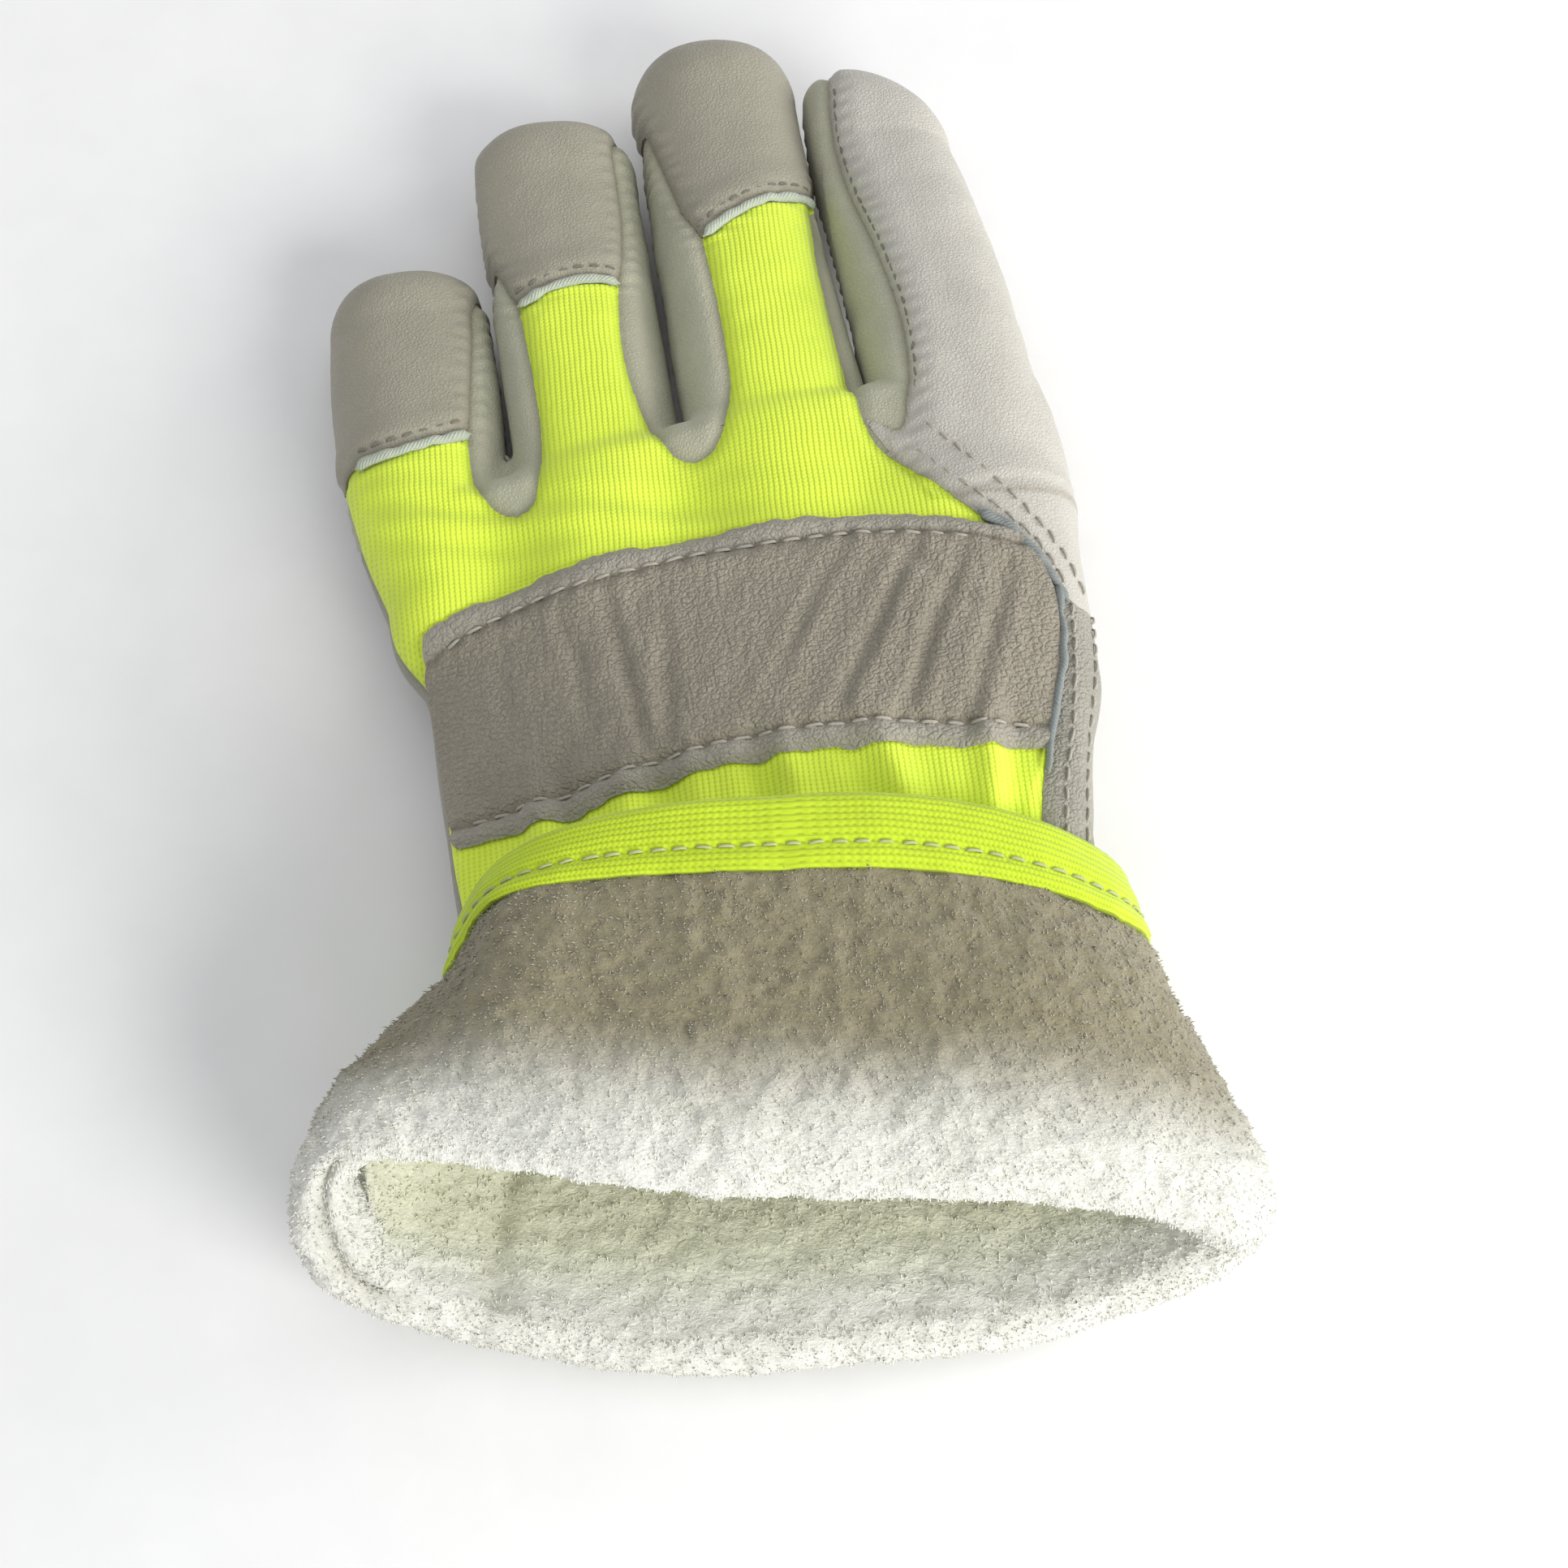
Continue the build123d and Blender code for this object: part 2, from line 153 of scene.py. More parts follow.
def hand_uv(p):
    x, z, wide, high, tilt = along(HAND, p[:, 1])
    u, v = turned(p, x, z, np.radians(tilt))
    return u, v, wide, high


def hand_distance(p):
    u, v, wide, high = hand_uv(p)
    edge = 56.5 + (p[:, 0] + 49) * 0.12
    past = np.maximum(p[:, 1] - edge, 0)
    before = np.maximum(-44 - p[:, 1], 0)
    return outside(u, v, past + before, 7.0, wide, high, 2.6, 2.2)


def thumb_distance(p):
    x, z, wide, high = along(THUMB, p[:, 1])
    u, v = turned(p, x, z, THUMB_TILT)
    past = np.maximum(p[:, 1] - THUMB[-1][0], 0) + np.maximum(THUMB[0][0] - p[:, 1], 0)
    return outside(u, v, past, 14.0, wide, high, 2.5, 2.2)


def smooth_min(a, b, k):
    h = np.maximum(k - np.abs(a - b), 0) / k
    return np.minimum(a, b) - h * h * k / 4


def glove_distance(p):
    k = 0.5 + 6.5 * np.clip((74 - p[:, 1]) / 12, 0, 1)
    d = finger_distance("little", p)
    for name in ORDER[1:]:
        d = smooth_min(d, finger_distance(name, p), k)
    return smooth_min(d, hand_distance(p), k)


def slope(p, field):
    e = 0.05
    d = field(p)
    return d, np.stack([(field(p + e * np.eye(3)[i]) - d) / e for i in range(3)], 1)


def settle(p, field, steps=5):
    """Moves points onto the surface where the field is zero, and returns them with their normals."""
    for _ in range(steps):
        d, g = slope(p, field)
        move = d[:, None] * g / np.maximum((g * g).sum(1), 0.1)[:, None]
        length = np.maximum(np.linalg.norm(move, axis=1), 1e-9)[:, None]
        p = p - move * np.minimum(1.0, LONGEST_STEP / length)
    _, g = slope(p, field)
    return p, g / np.maximum(np.linalg.norm(g, axis=1), 1e-9)[:, None]


def on_top(plan, field, start=75.0):
    """Drops points of the plan straight down onto the top of the surface."""
    plan = np.asarray(plan, float)
    lo, hi = np.full(len(plan), 14.0), np.full(len(plan), start)
    steps = np.linspace(start, 14.0, 31)
    found = np.zeros(len(plan), bool)
    for a, b in zip(steps[:-1], steps[1:]):
        inside = field(np.column_stack([plan, np.full(len(plan), b)])) < 0
        new = inside & ~found
        hi[new], lo[new] = a, b
        found |= inside
    for _ in range(16):
        mid = (lo + hi) / 2
        inside = field(np.column_stack([plan, mid])) < 0
        lo, hi = np.where(inside, mid, lo), np.where(inside, hi, mid)
    p = np.column_stack([plan, (lo + hi) / 2])
    _, g = slope(p, field)
    return p, g / np.maximum(np.linalg.norm(g, axis=1), 1e-9)[:, None]


# ==== noise and lines ===============================================================================================
def noise(p, scale, seed=0):
    """Smooth random values from -1 to 1 that change over about one scale."""
    q = np.asarray(p, float) / np.asarray(scale, float)
    i = np.floor(q).astype(np.int64)
    f = q - i
    f = f * f * f * (f * (f * 6 - 15) + 10)
    total = np.zeros(len(q))
    for corner in range(8):
        c = np.array([corner & 1, corner >> 1 & 1, corner >> 2 & 1])
        n = (i + c) @ np.array([73856093, 19349663, 83492791]) + seed * 982451653
        n = (n ^ (n >> 13)) * 1274126177 & 0x7FFFFFFF
        n = (n ^ (n >> 16)) * 1103515245 & 0x7FFFFFFF
        value = (n & 0xFFFFF) / 524287.5 - 1
        w = np.where(c == 1, f, 1 - f).prod(1)
        total += value * w
    return total


def layered(p, scale, seed=0, octaves=3):
    return sum(noise(p, np.asarray(scale) / 2 ** i, seed + i) / 2 ** i for i in range(octaves))


def curve(points, step=0.8, closed=False):
    """A smooth line through points, with places a step apart."""
    p = np.asarray(points, float)
    if closed:
        p = np.vstack([p, p[:1]])
    d = np.r_[0, np.cumsum(np.linalg.norm(np.diff(p, axis=0), axis=1))]
    fine = np.linspace(0, d[-1], max(2, int(round(d[-1] / step)) + 1))
    if closed:
        ring = np.vstack([p[-3:-1], p, p[1:3]])
        knots = np.r_[d[-3:-1] - d[-1], d, d[1:3] + d[-1]]
        return along(np.column_stack([knots, ring]), fine).T[:-1]
    return along(np.column_stack([d, p]), fine).T


def region(points, p):
    """Signed distance in plan to a closed outline, positive inside it."""
    a = np.asarray(points, float)
    b = np.roll(a, -1, axis=0)
    q = p[:, :2]
    best = np.full(len(q), 1e9)
    crossings = np.zeros(len(q), int)
    for (ax, ay), (bx, by) in zip(a, b):
        ex, ey = bx - ax, by - ay
        wx, wy = q[:, 0] - ax, q[:, 1] - ay
        t = np.clip((wx * ex + wy * ey) / max(ex * ex + ey * ey, 1e-12), 0, 1)
        best = np.minimum(best, (wx - t * ex) ** 2 + (wy - t * ey) ** 2)
        crosses = (ay > q[:, 1]) != (by > q[:, 1])
        crossings += crosses & (q[:, 0] < ax + (q[:, 1] - ay) * ex / (ey if abs(ey) > 1e-12 else 1e-12))
    return np.sqrt(best) * np.where(crossings % 2 == 1, 1, -1)


def bump(x, width):
    return np.exp(-((x / width) ** 2))


def ramp(x, start, end):
    t = np.clip((x - start) / (end - start), 0, 1)
    return t * t * (3 - 2 * t)


# ==== seams, in plan ================================================================================================
CAP_SEAM = {
    "little": [(-82.0, 69.2), (-68.4, 69.5), (-62.3, 70.3), (-56.3, 71.6), (-50.4, 73.6)],
    "ring": [(-40.1, 100.5), (-34.6, 102.5), (-29.9, 103.7), (-25.3, 104.2), (-20.2, 103.6)],
    "middle": [(-4.2, 109.8), (1.9, 114.4), (8.5, 117.8), (13.6, 119.6), (18.6, 120.4)],
}
LITTLE_EDGE = [(-50.4, 73.6), (-50.3, 65.8), (-49.6, 58.5)]
RING_OUTER = [(-38.9, 57.1), (-38.2, 67.5), (-38.4, 79.2), (-39.2, 91.4), (-40.1, 100.5)]
RING_INNER = [(-20.2, 103.6), (-20.9, 90.4), (-20.2, 80.3), (-18.2, 70.8), (-15.9, 62.0)]
MIDDLE_OUTER = [(-4.6, 61.5), (-2.5, 70.9), (-2.4, 82.7), (-3.1, 97.2), (-4.2, 109.8)]
MIDDLE_INNER = [(18.6, 120.4), (17.9, 102.1), (18.7, 86.9), (19.2, 74.1), (20.2, 60.8)]
LITTLE_ARCH = [(-49.6, 58.5), (-47.2, 53.9), (-43.4, 51.7), (-40.2, 53.6), (-38.9, 57.1)]
RING_ARCH = [(-15.9, 62.0), (-13.6, 57.8), (-10.4, 56.3), (-7.0, 57.6), (-4.6, 61.5)]
YOKE_EDGE = [(20.2, 60.8), (22.2, 54.0), (25.4, 49.8), (30.8, 43.7), (36.9, 36.6), (42.8, 31.6), (46.5, 26.0), (48.9, 20.6)]
STRAP_END = [(48.9, 20.6), (48.6, 10.8), (46.6, 0.1), (43.9, -9.8), (41.5, -22.0), (40.5, -34.0)]
LEFT_EDGE = [(-74.0, -40.0), (-78.0, 20.0), (-82.0, 69.2)]  # beyond the side; the knit ends at a height there
KNIT = [
    LEFT_EDGE, CAP_SEAM["little"], LITTLE_EDGE, LITTLE_ARCH, RING_OUTER, CAP_SEAM["ring"], RING_INNER, RING_ARCH,
    MIDDLE_OUTER, CAP_SEAM["middle"], MIDDLE_INNER, YOKE_EDGE, STRAP_END,
]
knit_outline = np.vstack([curve(part, 2.0)[:-1] for part in KNIT])
INDEX_SEAM = [(20.2, 60.8), (26.4, 56.0), (29.2, 66.4), (29.9, 80.2), (27.7, 102.9), (24.9, 117.4), (23.4, 135.5), (25.0, 150.0), (27.0, 162.0)]
CAP_SIDES = {
    "little": ([(-50.4, 73.6), (-49.3, 85.0), (-48.7, 95.5), (-48.3, 104.1), (-45.5, 112.0), (-41.0, 122.0)], [(-85.0, 122.0), (-85.0, 69.2)]),
    "ring": ([(-20.2, 103.6), (-18.4, 115.5), (-18.2, 129.9), (-18.4, 139.5), (-13.0, 152.0)], [(-56.0, 154.0), (-51.0, 124.0), (-45.6, 113.5), (-42.4, 107.0)]),
    "middle": ([(18.6, 120.4), (21.5, 128.0), (24.0, 172.0)], [(-20.0, 172.0), (-16.0, 150.0), (-12.6, 141.0), (-10.0, 128.5), (-7.6, 118.0)]),
}


def cap_outline(name):
    right, left = CAP_SIDES[name]
    seam = CAP_SEAM[name]
    return np.vstack([curve(seam, 2.0)[:-1], curve(right, 2.0)[:-1], np.array(left, float), np.array(seam[:1], float)])[:-1]


TURN = math.radians(5.0)
AHEAD = np.array([-math.sin(TURN), math.cos(TURN), 0.0])
KNUCKLE = np.array([-8.0, 62.0, 0.0])
GAPS = [  # the lines between neighbouring fingers, as x at each y
    [(40, -43.4), (60, -43.5), (80, -44.0), (100, -44.8), (140, -46.5)],
    [(40, -10.8), (60, -11.2), (80, -11.8), (110, -13.0), (160, -14.5)],
    [(40, 24.4), (64, 23.7), (85, 22.0), (110, 20.9), (140, 19.1), (175, 18.8)],
]


def past_knuckles(p):
    return (p - KNUCKLE) @ AHEAD


def gap_side(i, p):
    return p[:, 0] - along(GAPS[i], p[:, 1])[0]


# ==== small forms of the surface ====================================================================================
def knuckle_dimples(p):
    """Shallow hollows at the roots of the stalls and soft swellings between them."""
    total = np.zeros(len(p))
    for x, y, size, deep in ((-44, 45, 7, 1.3), (-12, 49, 8, 1.5), (21, 46, 7, 1.1), (-60, 52, 8, -0.7), (-28, 56, 9, -0.7), (7, 57, 9, -0.8)):
        total -= deep * bump(np.hypot(p[:, 0] - x, (p[:, 1] - y) * 0.8), size)
    slant = (p[:, 1] - 44) + 0.22 * (p[:, 0] + 30)
    total += 0.5 * np.sin(slant * 0.75 + 1.2 * noise(p, 18, 7)) * bump(slant - 2, 9) * ramp(p[:, 0], 18, 0)
    return total


def gathers(p):
    """Folds of the knit where the elastic draws it in, just above the binding."""
    depth = ramp(p[:, 1], 6, -9) * ramp(p[:, 1], -40, -20)
    x = p[:, 0] + 1.6 * noise(p, 14, 5) + 0.16 * (p[:, 1] + 10) * np.sin(p[:, 0] * 0.11)
    folds = np.sin(x * 2 * math.pi / 15.5 + 0.8) + 0.5 * np.sin(x * 2 * math.pi / 8.6 + 2.0)
    return depth * (1.05 * folds - 1.2) * ramp(p[:, 2], 26, 34)


def body_detail(p):
    """How far the stuffed, slightly crumpled glove stands out from its plain form."""
    d = 0.55 * layered(p, 34, 11, 2) + 0.16 * layered(p, (13, 16, 13), 21, 2)
    fingers = ramp(p[:, 1], 66, 84)
    d += 0.10 * fingers * layered(p, (6, 5, 6), 31, 2)
    top = ramp(p[:, 2], 22, 30)
    d += top * knuckle_dimples(p) + gathers(p)
    return d


def index_creases(p):
    """Two soft diagonal creases at the root of the index finger."""
    a = (p[:, 0] - 38) * 0.62 + (p[:, 1] - 47) * 0.78
    b = (p[:, 0] - 46) * 0.78 + (p[:, 1] - 60) * 0.62
    return -0.55 * bump(a - 9, 2.4) * ramp(p[:, 0], 26, 36) - 0.4 * bump(b, 2.6)


# ==== meshes as arrays ==============================================================================================
class Skin:
    """A triangle mesh with values on its points: position, normal, and a few fields used for splitting and shading."""

    def __init__(self, p, tris, **values):
        self.p, self.tris, self.values = p, tris, values

    def normals(self):
        a, b, c = (self.p[self.tris[:, i]] for i in range(3))
        face = np.cross(b - a, c - a)
        n = np.zeros_like(self.p)
        for i in range(3):
            np.add.at(n, self.tris[:, i], face)
        return n / np.maximum(np.linalg.norm(n, axis=1), 1e-12)[:, None]

    def kept(self, tris):
        used, index = np.unique(tris, return_inverse=True)
        return Skin(self.p[used], index.reshape(-1, 3), **{k: v[used] for k, v in self.values.items()})

    def split(self, g, snap=0.12):
        """The parts where g is positive and negative, cut along g = 0."""
        g = np.where(np.abs(g) < snap, 0.0, g)
        side = g >= 0
        count = side[self.tris].sum(1)
        plus, minus = [self.tris[count == 3]], [self.tris[count == 0]]
        mixed = self.tris[(count > 0) & (count < 3)]
        lone_plus = side[mixed].sum(1) == 1
        lone = np.where(lone_plus[:, None], side[mixed], ~side[mixed]).argmax(1)
        a, b, c = (mixed[np.arange(len(mixed)), (lone + i) % 3] for i in range(3))
        edges = np.sort(np.concatenate([np.column_stack([a, b]), np.column_stack([a, c])]), axis=1)
        unique, index = np.unique(edges, axis=0, return_inverse=True)
        index = index.reshape(-1)
        g0, g1 = g[unique[:, 0]], g[unique[:, 1]]
        t = np.clip(g0 / np.where(np.abs(g0 - g1) < 1e-12, 1e-12, g0 - g1), 0, 1)

        def mix(v):
            w = t if v.ndim == 1 else t[:, None]
            return np.concatenate([v, v[unique[:, 0]] * (1 - w) + v[unique[:, 1]] * w])

        base = len(self.p)
        m, n = base + index[: len(mixed)], base + index[len(mixed):]
        for chosen, near, far in ((lone_plus, plus, minus), (~lone_plus, minus, plus)):
            near.append(np.column_stack([a, m, n])[chosen])
            far.append(np.column_stack([m, b, c])[chosen])
            far.append(np.column_stack([m, c, n])[chosen])
        whole = Skin(mix(self.p), None, **{k: mix(v) for k, v in self.values.items()})
        return tuple(whole.kept(clean(whole.p, np.concatenate(part))) for part in (plus, minus))


def clean(p, tris):
    """Drops triangles with no area."""
    a, b, c = (p[tris[:, i]] for i in range(3))
    area = np.linalg.norm(np.cross(b - a, c - a), axis=1)
    return tris[area > 1e-7]


def largest(skin, least=60):
    """Without the loose crumbs that a cut leaves."""
    parent = np.arange(len(skin.p))
    while True:
        low_point = parent[skin.tris].min(1)
        new = parent.copy()
        for i in range(3):
            np.minimum.at(new, skin.tris[:, i], low_point)
        new = new[new]
        if (new == parent).all():
            break
        parent = new
    groups, sizes = np.unique(parent[skin.tris[:, 0]], return_counts=True)
    keep = np.isin(parent[skin.tris[:, 0]], groups[sizes >= least])
    return skin.kept(skin.tris[keep])


def border(tris):
    """The edges that belong to one triangle only, in their triangle's direction."""
    e = np.concatenate([tris[:, [0, 1]], tris[:, [1, 2]], tris[:, [2, 0]]])
    key = np.sort(e, axis=1)
    _, index, count = np.unique(key, axis=0, return_index=True, return_counts=True)
    return e[index[count == 1]]


def make_mesh(name, p, faces, normals=None, material=None, pattern=None, painted_shade=None, smooth=True):
    """A mesh object in the row frame from points in millimetres."""
    mesh = bpy.data.meshes.new(name)
    faces = [tuple(int(i) for i in f) for f in faces]
    mesh.from_pydata([tuple(q) for q in row(p)], [], faces)
    mesh.validate()
    if smooth:
        mesh.polygons.foreach_set("use_smooth", np.ones(len(mesh.polygons), bool))
    if pattern is not None:
        mesh.attributes.new("weave", "FLOAT_VECTOR", "POINT").data.foreach_set("vector", np.asarray(pattern, np.float32).ravel())
    if painted_shade is not None:
        mesh.attributes.new("painted_shade", "FLOAT", "POINT").data.foreach_set("value", np.asarray(painted_shade, np.float32))
    if normals is not None:
        mesh.normals_split_custom_set_from_vertices([tuple(n) for n in normals])
    if material is not None:
        mesh.materials.append(material)
    ob = bpy.data.objects.new(name, mesh)
    bpy.context.scene.collection.objects.link(ob)
    return ob


def panel(name, skin, material, raise_by=0.0, thick=1.3):
    """A panel with a turned-in edge all round."""
    n = skin.values["normal"]
    n = n / np.maximum(np.linalg.norm(n, axis=1), 1e-9)[:, None]
    p = skin.p + n * raise_by
    e = border(skin.tris)
    edge_points = np.unique(e)
    place = {int(v): len(p) + i for i, v in enumerate(edge_points)}
    twice = {int(v): len(p) + len(edge_points) + i for i, v in enumerate(edge_points)}
    rim = p[edge_points] - n[edge_points] * (thick + raise_by)
    points = np.concatenate([p, p[edge_points], rim])
    outward = np.zeros((len(points), 3))
    outward[: len(p)] = n
    for a, b in e:
        side = np.cross(p[b] - p[a], n[a])
        side /= max(np.linalg.norm(side), 1e-9)
        for v in (a, b):
            outward[place[int(v)]] += side
            outward[twice[int(v)]] += side
    outward[len(p):] /= np.maximum(np.linalg.norm(outward[len(p):], axis=1), 1e-9)[:, None]
    faces = [tuple(t) for t in skin.tris]
    faces += [(place[int(b)], place[int(a)], twice[int(a)], twice[int(b)]) for a, b in e]

    def grown(v):
        return np.concatenate([v, v[edge_points], v[edge_points]])

    return make_mesh(
        name, points, faces, outward, material, grown(skin.values["pattern"]), grown(skin.values["painted_shade"])
    )


# ==== materials =====================================================================================================
def new_material(name):
    m = bpy.data.materials.new(name)
    m.use_nodes = True
    tree = m.node_tree
    for n in list(tree.nodes):
        tree.nodes.remove(n)
    out = tree.nodes.new("ShaderNodeOutputMaterial")
    shader = tree.nodes.new("ShaderNodeBsdfPrincipled")
    tree.links.new(shader.outputs[0], out.inputs[0])
    return m, tree, shader


class Nodes:
    """Short calls for building a material."""

    def __init__(self, tree):
        self.tree = tree

    def add(self, kind, inputs=(), **settings):
        n = self.tree.nodes.new(kind)
        for k, v in settings.items():
            setattr(n, k, v)
        for key, value in dict(inputs).items():
            if isinstance(value, bpy.types.NodeSocket):
                self.tree.links.new(value, n.inputs[key])
            else:
                n.inputs[key].default_value = value
        return n

    def attribute(self, name):
        return self.add("ShaderNodeAttribute", attribute_name=name)

    def math(self, how, a, b=0.0, clamp=False):
        return self.add("ShaderNodeMath", {0: a, 1: b}, operation=how, use_clamp=clamp).outputs[0]

    def noise(self, vector, scale, detail=3.0, rough=0.55, distort=0.0):
        return self.add(
            "ShaderNodeTexNoise", {"Vector": vector, "Scale": scale, "Detail": detail, "Roughness": rough, "Distortion": distort}
        ).outputs[0]

    def mapped(self, vector, scale, turn=(0, 0, 0)):
        return self.add("ShaderNodeMapping", {"Vector": vector, "Scale": scale, "Rotation": turn}).outputs[0]

    def stretch(self, value, low_in, high_in, low_out=0.0, high_out=1.0):
        return self.add(
            "ShaderNodeMapRange",
            {"Value": value, "From Min": low_in, "From Max": high_in, "To Min": low_out, "To Max": high_out},
        ).outputs[0]

    def blend(self, factor, a, b, how="MIX"):
        n = self.add("ShaderNodeMix", data_type="RGBA", blend_type=how)
        for socket, value in ((n.inputs[0], factor), (n.inputs[6], a), (n.inputs[7], b)):
            if isinstance(value, bpy.types.NodeSocket):
                self.tree.links.new(value, socket)
            else:
                socket.default_value = value
        return n.outputs[2]

    def bump(self, height, strength, distance, under=None):
        inputs = {"Height": height, "Strength": strength, "Distance": distance}
        if under is not None:
            inputs["Normal"] = under
        return self.add("ShaderNodeBump", inputs).outputs[0]


def rgba(c, k=1.0):
    return (c[0] * k, c[1] * k, c[2] * k, 1.0)


def leather(name, colour, grain=1.0, pebble=0.0, crease=0.0, rough=0.62, sheen=0.15):
    """Grain leather: small cells, soft blotches and darker pores, with painted shade from a point attribute in seam
    grooves and creases.
    """
    m, tree, shader = new_material(name)
    n = Nodes(tree)
    weave = n.attribute("weave").outputs["Vector"]
    painted_shade = n.attribute("painted_shade").outputs["Fac"]
    blotch = n.noise(weave, 0.045, 4.0, 0.6)
    fine = n.noise(weave, 1.1, 4.0, 0.7)
    base = n.blend(n.stretch(blotch, 0.3, 0.7), rgba(colour, 0.90), rgba(colour, 1.08))
    base = n.blend(n.stretch(fine, 0.25, 0.75, 0.0, 0.35), base, rgba(colour, 0.82))
    cells = n.add("ShaderNodeTexVoronoi", {"Vector": weave, "Scale": 1.35, "Randomness": 1.0}, feature="DISTANCE_TO_EDGE").outputs[0]
    pores = n.stretch(cells, 0.0, 0.16, 1.0, 0.0)
    base = n.blend(n.math("MULTIPLY", pores, 0.16 + 0.20 * pebble), base, rgba(colour, 0.62))
    # Painted shade: the point attribute darkens the leather in seam grooves and creases.
    base = n.blend(n.math("MULTIPLY", painted_shade, 1.0, clamp=True), base, rgba((colour[0] * 0.55, colour[1] * 0.52, colour[2] * 0.46)))
    tree.links.new(base, shader.inputs["Base Color"])
    tree.links.new(n.stretch(fine, 0.2, 0.8, rough - 0.08, rough + 0.10), shader.inputs["Roughness"])
    shader.inputs["Specular IOR Level"].default_value = 0.35
    shader.inputs["Sheen Weight"].default_value = sheen
    shader.inputs["Sheen Roughness"].default_value = 0.55
    height = n.math("MULTIPLY", n.stretch(cells, 0.0, 0.30), 0.55 * grain)
    height = n.math("ADD", height, n.math("MULTIPLY", fine, 0.55 * grain))
    if pebble:
        wide = n.add(
            "ShaderNodeTexVoronoi", {"Vector": n.mapped(weave, (0.62, 0.95, 0.8), (0, 0, 0.6)), "Scale": 1.0}, feature="DISTANCE_TO_EDGE"
        ).outputs[0]
        height = n.math("ADD", height, n.math("MULTIPLY", n.stretch(wide, 0.0, 0.22), 1.1 * pebble))
    if crease:
        lines = n.noise(n.mapped(weave, (0.42, 0.07, 0.2), (0, 0, -0.55)), 1.0, 3.0, 0.6, 1.2)
        height = n.math("ADD", height, n.math("MULTIPLY", n.stretch(lines, 0.35, 0.65), 1.6 * crease))
    tree.links.new(n.bump(height, 0.75, 0.00030), shader.inputs["Normal"])
    return m


def knit(name, colour, wale=1.0, course=0.85, deep=1.0, along_band=False):
    """Rib knit: rows of small loops, with painted shade in the rib valleys and the gaps between the loops, and painted
    shade along the seams from a point attribute.
    """
    m, tree, shader = new_material(name)
    n = Nodes(tree)
    weave = n.attribute("weave").outputs["Vector"]
    painted_shade = n.attribute("painted_shade").outputs["Fac"]
    wobble = n.noise(weave, 0.16, 2.0, 0.5)
    parts = n.add("ShaderNodeSeparateXYZ", {0: weave})
    x = n.math("ADD", parts.outputs[0], n.math("MULTIPLY", n.math("SUBTRACT", wobble, 0.5), 0.5))
    y = n.math("ADD", parts.outputs[1], n.math("MULTIPLY", n.math("SUBTRACT", wobble, 0.5), 0.4))
    ribs = n.math("SINE", n.math("MULTIPLY", x, 2 * math.pi / wale))
    rows = n.math("SINE", n.math("ADD", n.math("MULTIPLY", y, 2 * math.pi / course), n.math("MULTIPLY", ribs, 0.6)))
    rib_height = n.stretch(ribs, -1.0, 0.4)
    row_height = n.stretch(rows, -1.0, 1.0)
    gap_shade = n.math("MULTIPLY", n.stretch(ribs, -0.35, -1.0), n.stretch(rows, 0.1, -0.8), clamp=True)
    fuzz = n.noise(weave, 3.4, 4.0, 0.75)
    blotch = n.noise(weave, 0.06, 3.0, 0.55)
    base = n.blend(n.stretch(blotch, 0.3, 0.7), rgba(colour, 0.93), rgba(colour, 1.06))
    # Painted shade in the rib valleys and, darker still, in the gaps between the loops.
    base = n.blend(n.math("MULTIPLY", n.stretch(ribs, 0.2, -1.0), 0.30 * deep, clamp=True), base, rgba((colour[0] * 0.60, colour[1] * 0.66, colour[2] * 0.40)))
    base = n.blend(n.math("MULTIPLY", gap_shade, 0.75 * deep, clamp=True), base, rgba((colour[0] * 0.30, colour[1] * 0.36, colour[2] * 0.16)))
    base = n.blend(n.stretch(fuzz, 0.55, 0.85, 0.0, 0.35), base, rgba((min(1, colour[0] * 1.25), min(1, colour[1] * 1.12), colour[2] * 2.2)))
    # Painted shade along the seams, from a point attribute.
    base = n.blend(n.math("MULTIPLY", painted_shade, 0.8, clamp=True), base, rgba((colour[0] * 0.52, colour[1] * 0.58, colour[2] * 0.35)))
    tree.links.new(base, shader.inputs["Base Color"])
    shader.inputs["Roughness"].default_value = 0.85
    shader.inputs["Specular IOR Level"].default_value = 0.25
    shader.inputs["Sheen Weight"].default_value = 0.25
    shader.inputs["Sheen Roughness"].default_value = 0.4
    height = n.math("ADD", n.math("MULTIPLY", rib_height, 0.8), n.math("MULTIPLY", row_height, 0.35))
    height = n.math("ADD", height, n.math("MULTIPLY", fuzz, 0.35))
    tree.links.new(n.bump(height, 0.7, 0.00028), shader.inputs["Normal"])
    return m


